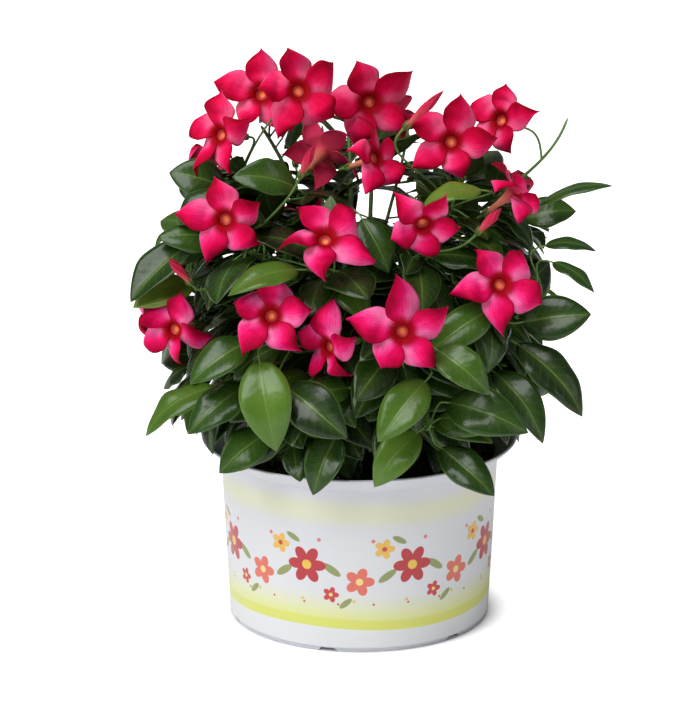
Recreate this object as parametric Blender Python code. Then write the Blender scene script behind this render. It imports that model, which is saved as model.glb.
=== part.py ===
"""A flowering mandevilla in a round plastic pot.

Metres, +Z up. The origin lies on the ground under the middle of the pot, and the plant's front is
on the -Y side. The places in the lists below are in millimetres.

The plant is laid out first, as records of shoots, blooms, flower stalks, buds and leaves. Each
record is laid so that it stays clear of the earlier ones, and then the solids are made from them.
"""
import math
import random
from collections import namedtuple

import bmesh
import bpy
from mathutils import Vector
from mathutils.bvhtree import BVHTree

MM = 0.001
UP = Vector((0, 0, 1))
SEED = 11

# Pot
POT_SIDES = 32
POT_HEIGHT = 0.172
POT_LIP_RADIUS = 0.146
POT_WALL = 0.0025
WALL_TOP_RADIUS = 0.128
WALL_TOP = 0.156
WALL_FOOT_RADIUS = 0.1205
FOOT_RADIUS = 0.118
FOOT_RING_WIDTH = 0.007
FOOT_STEP = 0.0035
RECESS = 0.004
PAD_RADIUS = 0.050
FLOOR = 0.0065
NOTCHES = 6
NOTCH_WIDTH = 0.014
NOTCH_HEIGHT = 0.003
NOTCH_LENGTH = 0.018
FIRST_NOTCH = math.radians(-103.6)
DRAIN_HOLES = 6
DRAIN_RADIUS = 0.006
DRAIN_RING_RADIUS = 0.080
DRAIN_SIDES = 6
CUTTER_MARGIN = 0.002

# Soil
SOIL_TOP = 0.150
SOIL_SWELL = 0.0015
CLEAR = 0.0003
ROOT_DEPTH = 0.030
HOLE_SIDES = 5

# Crown
CROWN_CENTRE = Vector((0, 0, 0.300))
CROWN_RADII = Vector((0.200, 0.190, 0.220))
CROWN_REACH = 1.08
EYE = Vector((-0.0086, -3.17, 1.154))
GUARD = 0.0008
POT_GUARD = 0.006

# Stems
LEAD_RADII = (0.0032, 0.0016)
LEAD_POINTS = 8
SIDE_RADII = (0.0019, 0.0012)
TIP_RISE = 1.8
SIDE_POINTS = 5
STALK_RADIUS = 0.0011
STALK_POINTS = 4
STALK_TRIES = 80
SHORTEST_STALK = 0.008
STALK_SHARES = (0.1, 0.4, 0.7)
STALK_BULGE = 0.4
STALK_FREE = 0.45
ALONG_COST = 0.03
CALYX_RADIUS = 0.0026
CALYX_LENGTH = 0.005
CALYX_GUARD = 0.0006

# Leaves
LEAF_THICK = 0.0009
LEAF_STALK = 0.013
LEAF_STALK_WIDTH = 0.0022
LEAF_STALK_DEPTH = 0.0017
LEAF_SPACING = 0.034
FIRST_SPACING = 0.006
INNERMOST_SITE = 0.30
LOWEST_SITE = 0.180
SITE_MIX = 0.25
LEAF_LENGTH = (0.062, 0.088)
LEAF_SLIM = (0.52, 0.62)
LEAF_DROOP = (0.15, 0.75)
LEAF_SAG = (0.07, 0.13)
LEAF_FOLD = (0.08, 0.28)
LARGE_SAG = (0.08, 0.14)
LARGE_FOLD = (0.18, 0.42)
GUARDED_STALK = 0.006
GUARD_ROWS = (0.3, 0.7)
UNDER_GUARD = 1.8
LEAF_VIEW_SHARE = 0.36
LEAF_BROADEST = 0.6
LEAF_TURNS = (0, 28, -28, 56, -56, 84, -84)
LEAF_SIZES = (1.0, 0.85, 0.70)
LEAF_SHIFTS = (0, -8, 8, -16, 16, -24, 24, 32, 40)
LARGE_LEAF_ROWS = (0.25, 0.52, 0.80)
FILL_LEAF_ROWS = (0.32, 0.70)
FILL_LEAVES = 110
OUTER_WORTH = 0.08

# Blooms
PETALS = 5
PETAL_THICK = 0.0010
SINUS_SHARE = 0.47
PETAL_LONG = (0.84, 1.16)
PETAL_BROAD = (0.08, 0.18)
PETAL_TAPER = 1.5
PETAL_CURL = (0.00, 0.42)
PETAL_TWIST = (0.15, 0.55)
FOLDED_SHARE = 0.35
FOLDED_TWIST = (0.90, 1.40)
PETAL_LEAN = (0.02, 0.28)
PETAL_RIDGE = 0.06
PETAL_ROWS = (0.45, 0.78)
THROAT_SHARE = 0.16
THROAT_DEPTH = 0.014
TUBE_LENGTH = 0.038
TUBE_RADIUS = 0.0020
FUNNEL_RADIUS = 0.0034
FUNNEL_DEPTH = 0.020
REAR_BLOOMS = 7
REAR_TURNS = (96, 264)
REAR_LIFTS = (-20, 58)
REAR_SPANS = (72, 82)
REAR_STEPS = (0.618, 0.137)
REAR_STARTS = (0.35, 0.06)
REAR_LEVEL = 0.6
REAR_RISE = 4
BLOOM_GUARD = 0.0010
FACE_DEPTH = (0.004, 0.060)
FACE_SHARE = 0.75
VIEW_SHARE = 0.85
BUD_RADIUS = 0.0036

# Root and shoot tips of each stem; the first tip is the leading shoot's
STEMS = (
    ((-36, 4), ((-115, 10, 415), (-150, -10, 385))),
    ((-14, 14), ((-88, 52, 446), (-34, 78, 440))),
    ((8, 10), ((15, 20, 445), (45, 50, 450))),
    ((-34, -18), ((-105, -70, 365), (-170, -20, 330))),
    ((-8, -14), ((-30, -85, 352), (-62, -118, 290))),
    ((18, -12), ((55, -70, 360), (85, -30, 400))),
    ((40, -18), ((118, -75, 322), (170, -40, 318))),
    ((34, 8), ((95, 10, 410), (135, 30, 405), (186, 0, 464))),
    ((-56, -14), ((-150, -50, 250), (-118, -108, 226))),
    ((-24, -40), ((-38, -105, 250), (-66, -128, 212))),
    ((12, -40), ((38, -118, 282), (62, -132, 218))),
    ((48, -40), ((128, -88, 262), (165, -30, 240))),
    ((-42, 32), ((-105, 105, 385), (-160, 60, 300))),
    ((-6, 40), ((-10, 125, 425), (-30, 168, 320), (0, 160, 240))),
    ((34, 34), ((105, 105, 395), (155, 75, 300))),
    ((-28, 62), ((-95, 125, 250),)),
    ((26, 62), ((90, 130, 255),)),
)
SIDE_STARTS = (0.44, 0.58)

# Blooms of the front: middle of the throat, bearing from the front and lift in degrees, span,
# and the first petal's angle clockwise from the top
BLOOMS = (
    ((-127, -30, 459), -42, 12, 78, 0),
    ((-90, 40, 482), -12, 22, 84, -2),
    ((-54, -34, 500), 10, 18, 86, -4),
    ((9, 8, 480), 5, 4, 86, -14),
    ((16, -50, 443), 50, 22, 70, 10),
    ((-33, 28, 431), 155, 20, 70, 30),
    ((-118, -118, 402), -5, 5, 80, -5),
    ((-30, -130, 390), 6, 48, 86, -18),
    ((56, -118, 397), 10, -15, 74, 32),
    ((124, -120, 345), 14, 22, 84, -22),
    ((81, -40, 455), -5, 15, 78, 20),
    ((126, 22, 462), -38, 20, 76, 5),
    ((140, -55, 414), 76, 38, 74, 15),
    ((-78, -150, 325), -8, 24, 82, 8),
    ((-168, -74, 290), -32, 4, 76, 25),
    ((-30, -142, 293), -50, 0, 74, 5),
    ((37, -172, 315), 3, 3, 88, 0),
)

# Buds: foot and tip
BUDS = (
    ((41, -46, 470), (74, -54, 504)),
    ((-52, -92, 436), (-40, -104, 466)),
    ((104, -98, 386), (124, -106, 410)),
    ((-150, -96, 340), (-168, -110, 366)),
    ((-60, 150, 390), (-66, 168, 418)),
    ((-118, 132, 366), (-134, 152, 392)),
)

# Large leaves that show at the front: foot and tip of the blade, width, and how far the blade
# turns its face from the sky (0) to the front (1)
LARGE_LEAVES = (
    ((161, -20, 392), (226, -30, 414), 26, 0.1),
    ((166, -50, 362), (212, -50, 359), 26, 0.2),
    ((172, -70, 352), (208, -92, 330), 24, 0.3),
    ((144, -90, 302), (205, -100, 312), 42, 0.9),
    ((140, -98, 284), (200, -130, 232), 40, 0.55),
    ((118, -108, 262), (164, -150, 214), 34, 0.45),
    ((78, -132, 240), (144, -170, 228), 44, 0.8),
    ((72, -132, 198), (118, -168, 166), 34, 0.8),
    ((52, -142, 216), (12, -168, 176), 34, 0.5),
    ((58, -152, 266), (16, -186, 222), 38, 0.7),
    ((-88, -148, 284), (-74, -186, 214), 46, 0.9),
    ((-64, -146, 258), (-12, -182, 224), 44, 0.9),
    ((-128, -84, 240), (-194, -100, 204), 34, 0.3),
    ((-100, -112, 250), (-152, -138, 214), 38, 0.7),
    ((-150, -44, 362), (-204, -70, 314), 40, 0.5),
    ((-148, -56, 330), (-202, -82, 314), 32, 0.8),
    ((-98, -118, 292), (-150, -140, 262), 38, 0.6),
    ((-122, 0, 404), (-172, 0, 418), 38, 0.9),
    ((-56, -48, 414), (-112, -66, 430), 34, 0.7),
    ((108, -62, 416), (56, -84, 412), 28, 0.35),
    ((116, -128, 326), (62, -156, 296), 34, 0.9),
    ((68, -138, 290), (112, -164, 260), 36, 0.8),
    ((-20, -140, 212), (-42, -168, 168), 34, 0.5),
    ((-82, -112, 206), (-124, -142, 180), 34, 0.7),
    ((-54, -112, 356), (-114, -142, 346), 32, 0.45),
    ((-10, -128, 252), (-58, -154, 248), 32, 0.6),
    ((-118, -42, 406), (-164, -52, 384), 34, 0.6),
    ((2, -78, 394), (26, -104, 352), 34, 0.6),
    ((-126, -50, 368), (-180, -62, 372), 34, 0.7),
    ((150, 0, 374), (196, 0, 384), 32, 0.8),
)

# Outline of the foliage as it shows from the front, on the upright plane through the pot's axis
OUTLINE = (
    (-145, 150), (-180, 180), (-188, 220), (-196, 265), (-200, 310), (-190, 345), (-178, 380),
    (-168, 405), (-155, 440), (-135, 475), (-100, 492), (-55, 490), (-15, 482), (30, 475), (60, 458),
    (95, 452), (130, 450), (150, 435), (165, 410), (176, 370), (176, 335), (186, 300), (178, 260),
    (190, 220), (175, 185), (140, 155), (110, 135), (60, 122), (-30, 120), (-110, 132),
)

# Gaps in the crown that the leaves leave open, on the same plane: middle and radius
GAPS = (
    (-91, 447, 20), (8, 392, 14), (30, 392, 14), (146, 432, 14), (165, 406, 10), (-175, 315, 10),
    (-163, 297, 8), (62, 440, 12),
)

Shoot = namedtuple("Shoot", "stem curve points radii")
Bloom = namedtuple("Bloom", "throat axis across over radius petals front")
Petal = namedtuple("Petal", "long broad curl twist lean")
Stalk = namedtuple("Stalk", "stem curve points")
Bud = namedtuple("Bud", "foot axis length")
Leaf = namedtuple("Leaf", "stem curve points along normal length width sag fold")


def metres(place):
    return Vector(place) * MM


def between(limits, share):
    low, high = limits
    return low + (high - low) * share


def bearing(turn, lift):
    """Unit direction: turn in degrees from the front towards +X, lift in degrees above level."""
    turn = math.radians(turn)
    lift = math.radians(lift)
    return Vector((math.sin(turn) * math.cos(lift), -math.cos(turn) * math.cos(lift), math.sin(lift)))


def square_to(direction, towards):
    """Unit part of a direction that is square to another one."""
    return (towards - direction * towards.dot(direction)).normalized()


def bezier(p0, p1, p2, p3, count):
    points = []
    for step in range(count):
        t = step / (count - 1)
        s = 1 - t
        points.append(p0 * s ** 3 + p1 * 3 * s * s * t + p2 * 3 * s * t * t + p3 * t ** 3)
    return points


def outward(point):
    """Unit direction out of the crown's rounded form at a point."""
    offset = point - CROWN_CENTRE
    return Vector([offset[i] / CROWN_RADII[i] ** 2 for i in range(3)]).normalized()


def reach(point):
    """0 in the crown's centre, 1 on its surface."""
    offset = point - CROWN_CENTRE
    return math.sqrt(sum((offset[i] / CROWN_RADII[i]) ** 2 for i in range(3)))


def front_view(point):
    """Where a point shows on the upright plane through the pot's axis, seen from the eye point."""
    share = -EYE.y / (point.y - EYE.y)
    return (EYE.x + (point.x - EYE.x) * share, EYE.z + (point.z - EYE.z) * share)


def in_outline(point):
    x, z = front_view(point)
    inside = False
    corners = [(a * MM, b * MM) for a, b in OUTLINE]
    for (x0, z0), (x1, z1) in zip(corners, corners[1:] + corners[:1]):
        if (z0 > z) != (z1 > z) and x < x0 + (x1 - x0) * (z - z0) / (z1 - z0):
            inside = not inside
    return inside


def in_gap(point):
    x, z = front_view(point)
    return any(math.hypot(x - a * MM, z - b * MM) < radius * MM for a, b, radius in GAPS)


def clear_of_pot(point):
    """True for a point over the soil and the lip, or out past the lip."""
    radius = math.hypot(point.x, point.y)
    if radius > POT_LIP_RADIUS + POT_GUARD:
        return True
    if radius > WALL_TOP_RADIUS - POT_GUARD:
        return point.z > POT_HEIGHT + POT_GUARD
    return point.z > SOIL_TOP + POT_GUARD


def stitch(first, second):
    """Triangles between two rows of vertex numbers."""
    faces = []
    i = 0
    j = 0
    while i < len(first) - 1 or j < len(second) - 1:
        more = i < len(first) - 1
        if j == len(second) - 1 or (more and (i + 1) * (len(second) - 1) <= (j + 1) * (len(first) - 1)):
            faces.append((first[i], first[i + 1], second[j]))
            i += 1
        else:
            faces.append((first[i], second[j + 1], second[j]))
            j += 1
    return faces


def tube(points, radii, sides):
    """Closed tube along a path, with a radius at each of its points."""
    verts = []
    faces = []
    tangent = (points[1] - points[0]).normalized()
    across = square_to(tangent, Vector((1, 0.3, 0.1)))
    for n, point in enumerate(points):
        tangent = (points[min(n + 1, len(points) - 1)] - points[max(n - 1, 0)]).normalized()
        across = square_to(tangent, across)
        over = tangent.cross(across)
        for k in range(sides):
            angle = 2 * math.pi * k / sides
            verts.append(point + (across * math.cos(angle) + over * math.sin(angle)) * radii[n])
    for n in range(len(points) - 1):
        for k in range(sides):
            a = n * sides + k
            b = n * sides + (k + 1) % sides
            faces.append((a, b, b + sides, a + sides))
    faces.append(tuple(reversed(range(sides))))
    faces.append(tuple(range(len(verts) - sides, len(verts))))
    return verts, faces


def slab(upper_rows, under_rows):
    """Closed blade from rows of points on its upper and under faces, down to a single tip."""
    verts = []
    numbers = []
    for rows in (upper_rows, under_rows):
        numbers.append([])
        for row in rows:
            numbers[-1].append(list(range(len(verts), len(verts) + len(row))))
            verts += row
    upper, under = numbers
    faces = [tuple(upper[0]) + tuple(reversed(under[0]))]
    for n in range(len(upper) - 1):
        faces += stitch(upper[n], upper[n + 1])
        faces += [(c, b, a) for a, b, c in stitch(under[n], under[n + 1])]
        faces.append((upper[n][0], upper[n + 1][0], under[n + 1][0], under[n][0]))
        faces.append((upper[n][-1], under[n][-1], under[n + 1][-1], upper[n + 1][-1]))
    return verts, faces


def leaf_outline(v):
    """Half width of a pointed oval blade, as a share of its widest half."""
    return math.sin(math.pi * v ** 0.86) ** 0.7


def leaf_point(leaf, u, v):
    """Point of the upper face: u across from -1 to 1, v from the blade's foot to its tip."""
    x = u * leaf.width / 2 * leaf_outline(min(v, 0.999))
    side = leaf.along.cross(leaf.normal)
    height = leaf.sag * 4 * v * (1 - v) + leaf.fold * abs(x)
    return leaf.points[-1] + side * x + leaf.along * (v * leaf.length) + leaf.normal * height


def stalk_rows(leaf):
    """Rows of a leaf stalk with a three-cornered section: two corners above and a keel below."""
    points = leaf.points
    across = leaf.along.cross(leaf.normal)
    upper = []
    under = []
    for n in range(len(points) - 1, -1, -1):
        course = (points[min(n + 1, len(points) - 1)] - points[max(n - 1, 0)]).normalized()
        across = square_to(course, across)
        below = course.cross(across) * (LEAF_STALK_DEPTH / 2)
        half = across * (LEAF_STALK_WIDTH / 2)
        upper.insert(0, [points[n] - half - below * 0.6, points[n] + half - below * 0.6])
        under.insert(0, [points[n] + below])
    return upper, under


def leaf_solid(leaf, rows):
    """Stalk and blade as one closed slab, with a row of three points at each share in rows."""
    drop = leaf.normal * LEAF_THICK
    upper, under = stalk_rows(leaf)
    for v in rows:
        row = [leaf_point(leaf, u, v) for u in (-1, 0, 1)]
        upper.append(row)
        under.append([point - drop for point in row])
    tip = leaf_point(leaf, 0, 1)
    return slab(upper + [[tip]], under + [[tip - drop]])


def petal_point(bloom, number, u, v):
    """Point of a petal's inner face: u across from -1 to 1, v from the throat's edge to the tip."""
    petal = bloom.petals[number]
    radius = bloom.radius
    sinus = radius * SINUS_SHARE
    step = math.pi / PETALS
    broad = math.sin(math.pi * min(v, 1)) ** PETAL_TAPER
    half = sinus * math.sin(step) * (1 - v) + radius * petal.broad * broad
    side = u * half + petal.lean * radius * v ** 3
    out = sinus * math.cos(step * u) * (1 - v) + radius * petal.long * v
    height = radius * (0.10 * math.sin(2.5 * v) - petal.curl * v * v)
    height += radius * PETAL_RIDGE * (1 - u * u) * math.sin(math.pi * v)
    height += petal.twist * u * half * math.sin(math.pi / 2 * v)
    angle = 2 * step * number
    x = out * math.cos(angle) - side * math.sin(angle)
    y = out * math.sin(angle) + side * math.cos(angle)
    return bloom.throat + bloom.across * x + bloom.over * y + bloom.axis * height


def ring_point(bloom, angle, radius, height):
    """Point round a bloom's axis, height above its throat."""
    around = bloom.across * math.cos(angle) + bloom.over * math.sin(angle)
    return bloom.throat + around * radius + bloom.axis * height


def bloom_solid(bloom, thick=PETAL_THICK, swell=0.0):
    """Corolla as one closed solid: five petals round a throat, and the funnel and tube behind."""
    step = math.pi / PETALS
    inner = []
    faces = []
    ring = []
    for number in range(PETALS):
        ring.append(petal_point(bloom, number, -1, 0))
        ring.append(petal_point(bloom, number, 0, 0))
    inner += ring
    rims = []
    for number in range(PETALS):
        base = [2 * number, 2 * number + 1, (2 * number + 2) % (2 * PETALS)]
        start = len(inner)
        inner += [petal_point(bloom, number, u, PETAL_ROWS[0]) for u in (-1, 0, 1)]
        inner += [petal_point(bloom, number, u, PETAL_ROWS[1]) for u in (-1, 1)]
        inner.append(petal_point(bloom, number, 0, 1))
        rows = [base, [start, start + 1, start + 2], [start + 3, start + 4], [start + 5]]
        for first, second in zip(rows, rows[1:]):
            faces += [(c, b, a) for a, b, c in stitch(first, second)]
        path = [row[0] for row in rows] + [row[-1] for row in reversed(rows[:-1])]
        rims += list(zip(path, path[1:]))
    count = len(inner)
    lift = bloom.axis * swell
    verts = [point + lift for point in inner] + [point - bloom.axis * thick - lift for point in inner]
    faces += [(c + count, b + count, a + count) for a, b, c in faces]
    faces += [(a, b, b + count, a + count) for a, b in rims]

    throat = len(verts)
    sinus_angles = [2 * step * number - step for number in range(PETALS)]
    for angle in sinus_angles:
        verts.append(ring_point(bloom, angle, bloom.radius * THROAT_SHARE, -0.003))
    verts.append(ring_point(bloom, 0, 0, -THROAT_DEPTH))
    funnel = len(verts)
    for radius, depth in ((FUNNEL_RADIUS + swell, FUNNEL_DEPTH), (TUBE_RADIUS + swell, TUBE_LENGTH)):
        for angle in sinus_angles:
            verts.append(ring_point(bloom, angle, radius, -depth))
    for number in range(PETALS):
        after = (number + 1) % PETALS
        edge = [2 * number, 2 * number + 1, 2 * after]
        faces += stitch([throat + number, throat + after], edge)
        faces.append((throat + number, throat + after, throat + PETALS)[::-1])
        back = [index + count for index in edge]
        faces += stitch(back, [funnel + number, funnel + after])
        a = funnel + number
        b = funnel + after
        faces.append((a, b, b + PETALS, a + PETALS)[::-1])
    faces.append(tuple(range(funnel + PETALS, funnel + 2 * PETALS))[::-1])
    return verts, faces


def bud_solid(bud, sides=5, swell=0.0):
    """Pointed bud with a slight twist, on a narrow foot."""
    shape = ((0.0, 0.55), (0.30, 0.75), (0.58, 1.0), (0.80, 0.72), (1.0, 0.12))
    points = [bud.foot + bud.axis * (bud.length * share) for share, _ in shape]
    return tube(points, [BUD_RADIUS * width + swell for _, width in shape], sides)


def round_extent(verts):
    """Centre and radius of a sphere that holds all the points."""
    centre = sum(verts, Vector()) / len(verts)
    return centre, max((vert - centre).length for vert in verts)


class Obstacles:
    """What is laid out so far, as solids that later pieces keep clear of."""

    def __init__(self):
        self.items = []

    def add(self, solid):
        verts, faces = solid
        centre, size = round_extent(verts)
        self.items.append((centre, size, BVHTree.FromPolygons(verts, faces)))

    def hit(self, solid):
        """True if a solid crosses one of them."""
        verts, faces = solid
        centre, size = round_extent(verts)
        tree = None
        for other_centre, other_size, other_tree in self.items:
            if (other_centre - centre).length > size + other_size:
                continue
            tree = tree or BVHTree.FromPolygons(verts, faces)
            if tree.overlap(other_tree):
                return True
        return False


def tapered(radii, count):
    return [between(radii, n / (count - 1)) for n in range(count)]


def is_lead(shoot):
    """True for a leading shoot, which starts in the soil."""
    return shoot.points[0].z < SOIL_TOP


def lay_shoots():
    """Leading shoots from their roots to their tips, and side shoots that leave them."""
    shoots = []
    for stem, (root, tips) in enumerate(STEMS):
        start = metres((*root, SOIL_TOP / MM + 3))
        tip = metres(tips[0])
        length = (tip - start).length
        rise = (UP + Vector((start.x, start.y, 0)) * 6).normalized()
        curve = (start, start + rise * length * 0.40, tip - outward(tip) * length * 0.30, tip)
        lead = bezier(*curve, LEAD_POINTS)
        foot = Vector((start.x, start.y, SOIL_TOP - ROOT_DEPTH))
        shoots.append(Shoot(stem, curve, [foot] + lead, tapered(LEAD_RADII, LEAD_POINTS + 1)))
        for end, share in zip(map(metres, tips[1:]), SIDE_STARTS):
            place = share * (LEAD_POINTS - 1)
            below = lead[int(place)]
            above = lead[int(place) + 1]
            fork = below.lerp(above, place % 1)
            span = (end - fork).length
            start = ((above - below).normalized() + (end - fork).normalized()).normalized()
            finish = (outward(end) + UP * TIP_RISE).normalized()
            curve = (fork, fork + start * span * 0.35, end - finish * span * 0.30, end)
            shoots.append(Shoot(stem, curve, bezier(*curve, SIDE_POINTS),
                                tapered(SIDE_RADII, SIDE_POINTS)))
    return shoots


def lay_bloom(place, turn, lift, span, spin, front, draw):
    axis = bearing(turn, lift)
    across = square_to(axis, UP)
    spin = -math.radians(spin)
    over = axis.cross(across)
    across, over = (across * math.cos(spin) + over * math.sin(spin),
                    over * math.cos(spin) - across * math.sin(spin))
    petals = []
    for _ in range(PETALS):
        twist = FOLDED_TWIST if draw.random() < FOLDED_SHARE else PETAL_TWIST
        petals.append(Petal(draw.uniform(*PETAL_LONG), draw.uniform(*PETAL_BROAD),
                            draw.uniform(*PETAL_CURL), draw.uniform(*twist),
                            draw.uniform(*PETAL_LEAN)))
    return Bloom(place, axis, across, over, span * MM / 2, petals, front)


def lay_blooms(obstacles, draw):
    """The blooms of the front at their places, and those of the rear spread by a rule."""
    blooms = []
    for place, turn, lift, span, spin in BLOOMS:
        blooms.append(lay_bloom(metres(place), turn, lift, span, spin, True, draw))
        obstacles.add(bloom_guard(blooms[-1]))
    number = 0
    while len(blooms) < len(BLOOMS) + REAR_BLOOMS:
        turn = between(REAR_TURNS, (number * REAR_STEPS[0] + REAR_STARTS[0]) % 1.0)
        lift = between(REAR_LIFTS, (number * REAR_STEPS[1] + REAR_STARTS[1]) % 1.0)
        number += 1
        direction = bearing(turn, lift)
        place = CROWN_CENTRE + Vector([direction[i] * CROWN_RADII[i] for i in range(3)])
        spin = draw.uniform(0, 72)
        span = draw.uniform(*REAR_SPANS)
        bloom = lay_bloom(place, turn, lift * REAR_LEVEL + REAR_RISE, span, spin, False, draw)
        if not obstacles.hit(bloom_guard(bloom)):
            obstacles.add(bloom_guard(bloom))
            blooms.append(bloom)
    return blooms


def stalk_feet(shoots):
    """Stem, place and direction of growth at points along the upper parts of all shoots."""
    feet = []
    for shoot in shoots:
        first = LEAD_POINTS // 2 if is_lead(shoot) else 1
        for a, b in zip(shoot.points[first:], shoot.points[first + 1:]):
            for share in STALK_SHARES:
                feet.append((shoot.stem, a.lerp(b, share), (b - a).normalized()))
    return feet


def stalk_to(end, axis, neck_length, end_radius, shoots, obstacles):
    """A curved stalk to an end, straight past its neck, from the nearest shoot with a clear way."""
    neck = end - axis * neck_length
    feet = stalk_feet(shoots)
    feet.sort(key=lambda foot: (foot[1] - end).length + ALONG_COST * abs(axis.dot(foot[2])))
    for stem, foot, course in feet[:STALK_TRIES]:
        span = (neck - foot).length
        if span < SHORTEST_STALK:
            continue
        away = ((neck - foot).normalized() + course * STALK_BULGE).normalized()
        curve = (foot, foot + away * span * STALK_BULGE, neck - axis * span * STALK_BULGE, neck)
        points = bezier(*curve, STALK_POINTS) + [end]
        body = [points[0].lerp(points[1], STALK_FREE)] + points[1:-1] + [end - axis * GUARD]
        radii = [STALK_RADIUS + GUARD] * (len(body) - 1) + [end_radius + CALYX_GUARD]
        guard = tube(body, radii, 4)
        if not obstacles.hit(guard):
            obstacles.add(guard)
            return Stalk(stem, curve, points)
    return None


def large_leaf_places(place, draw):
    """A large front leaf at its place, then at others along the line to the eye point."""
    foot, tip, width, face = place
    sag_share = draw.uniform(*LARGE_SAG)
    fold = draw.uniform(*LARGE_FOLD)
    away = (metres(foot) - EYE).normalized()
    for shift in LEAF_SHIFTS:
        base = metres(foot) + away * (shift * MM)
        end = metres(tip) + away * (shift * MM)
        along = (end - base).normalized()
        turned = UP * (1.1 - face) + Vector((0, -1, 0.35)) * face + outward(base) * 0.2
        normal = square_to(along, turned)
        length = (end - base).length
        start = (along + normal * 4 * sag_share).normalized()
        yield Leaf(None, None, (base - start * LEAF_STALK, base), along, normal, length,
                   width * MM, length * sag_share, fold)


def bloom_guard(bloom):
    return bloom_solid(bloom, swell=BLOOM_GUARD)


def leaf_guard(leaf):
    """Blade and the last of the stalk, thicker and wider than they are."""
    side = leaf.along.cross(leaf.normal)
    lift = leaf.normal * GUARD
    base = leaf.points[-1]
    near = base.lerp(leaf.points[-2], min(1, GUARDED_STALK / (base - leaf.points[-2]).length))
    edge = side * (LEAF_STALK_WIDTH / 2 + GUARD)
    rows = [[near - edge, near + edge]]
    for v in GUARD_ROWS:
        row = [leaf_point(leaf, u, v) for u in (-1, 0, 1)]
        rows.append([row[0] - side * GUARD, row[1], row[2] + side * GUARD])
    rows.append([leaf_point(leaf, 0, 1)])
    return slab([[point + lift for point in row] for row in rows],
                [[point - lift * UNDER_GUARD for point in row] for row in rows])


def leaf_samples(leaf):
    return [leaf_point(leaf, u, v) for u, v in
            ((0, 0), (-1, 0.3), (1, 0.3), (0, 0.5), (-1, 0.7), (1, 0.7), (0, 1))]


def hides_bloom(point, blooms):
    """True for a point in front of a bloom's face, or between the eye point and a front bloom."""
    for bloom in blooms:
        offset = point - bloom.throat
        ahead = offset.dot(bloom.axis)
        aside = (offset - bloom.axis * ahead).length
        if FACE_DEPTH[0] < ahead < FACE_DEPTH[1] and aside < bloom.radius * FACE_SHARE:
            return True
        if bloom.front and (point - EYE).length < (bloom.throat - EYE).length:
            x, z = front_view(point)
            a, b = front_view(bloom.throat)
            if math.hypot(x - a, z - b) < bloom.radius * VIEW_SHARE:
                return True
    return False


def hides_leaf(point, large):
    """True for a point between the eye point and the middle of a large leaf."""
    for leaf in large:
        middle = leaf_point(leaf, 0, 0.5)
        if (point - EYE).length < (middle - EYE).length:
            x, z = front_view(point)
            a, b = front_view(middle)
            if math.hypot(x - a, z - b) < leaf.length * LEAF_VIEW_SHARE:
                return True
    return False


def lay_large_leaves(shoots, obstacles, draw):
    """The large leaves of the front, each on a long stalk from the nearest shoot with a clear way."""
    leaves = []
    for place in LARGE_LEAVES:
        for leaf in large_leaf_places(place, draw):
            guard = leaf_guard(leaf)
            if obstacles.hit(guard) or not all(clear_of_pot(point) for point in leaf_samples(leaf)):
                continue
            before, base = leaf.points
            course = (base - before).normalized()
            stalk = stalk_to(base, course, LEAF_STALK / 2, STALK_RADIUS, shoots, obstacles)
            if stalk:
                obstacles.add(guard)
                leaves.append(leaf._replace(stem=stalk.stem, curve=stalk.curve, points=stalk.points))
                break
    return leaves


def leaf_sites(shoots, draw):
    """Feet of leaf pairs along each shoot, from its tip back into the crown."""
    sites = []
    for shoot in shoots:
        points = shoot.points
        left = FIRST_SPACING
        pair = 0
        for a, b in zip(reversed(points[:-1]), reversed(points[1:])):
            length = (b - a).length
            while left < length:
                foot = b.lerp(a, left / length)
                if reach(foot) > INNERMOST_SITE and foot.z > LOWEST_SITE:
                    sites.append((shoot.stem, foot, (b - a).normalized(), pair))
                pair += 1
                left += LEAF_SPACING
            left -= length
    sites.sort(key=lambda site: draw.uniform(0, SITE_MIX) - reach(site[1]))
    return sites


def try_leaf(site, half, trial, size, draw):
    """A leaf at a site, turned and drooped by the number of the trial."""
    stem, foot, course, pair = site
    across = square_to(course, UP + Vector((0.31, 0.17, 0)))
    over = course.cross(across)
    offset = LEAF_TURNS[trial % len(LEAF_TURNS)]
    angle = math.radians(90 * pair + 180 * half + 20 * stem + offset)
    side = across * math.cos(angle) + over * math.sin(angle)
    out = outward(foot)
    droop = draw.uniform(*LEAF_DROOP)
    length = draw.uniform(*LEAF_LENGTH) * size
    slim = draw.uniform(*LEAF_SLIM)
    sag = length * draw.uniform(*LEAF_SAG)
    fold = draw.uniform(*LEAF_FOLD)
    along = (side * 0.9 + out * 0.65 + course * 0.25 - UP * droop).normalized()
    if along.dot(out) < -0.05:
        return None
    face = out * 0.75 + UP * 0.8
    if (face - along * face.dot(along)).length < 0.25:
        return None
    normal = square_to(along, face)
    start = (side * 0.8 + along * 0.5 + normal * 0.3).normalized()
    base = foot + start * LEAF_STALK
    curve = (foot, foot.lerp(base, 0.33), foot.lerp(base, 0.67), base)
    return Leaf(stem, curve, (foot, base), along, normal, length, length * slim, sag, fold)


def leaf_fits(leaf, blooms, large, obstacles):
    samples = leaf_samples(leaf)
    for point in samples:
        if not (clear_of_pot(point) and in_outline(point) and reach(point) < CROWN_REACH):
            return False
        if in_gap(point):
            return False
    if any(hides_bloom(point, blooms) or hides_leaf(point, large) for point in samples):
        return False
    return not obstacles.hit(leaf_guard(leaf))


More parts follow.
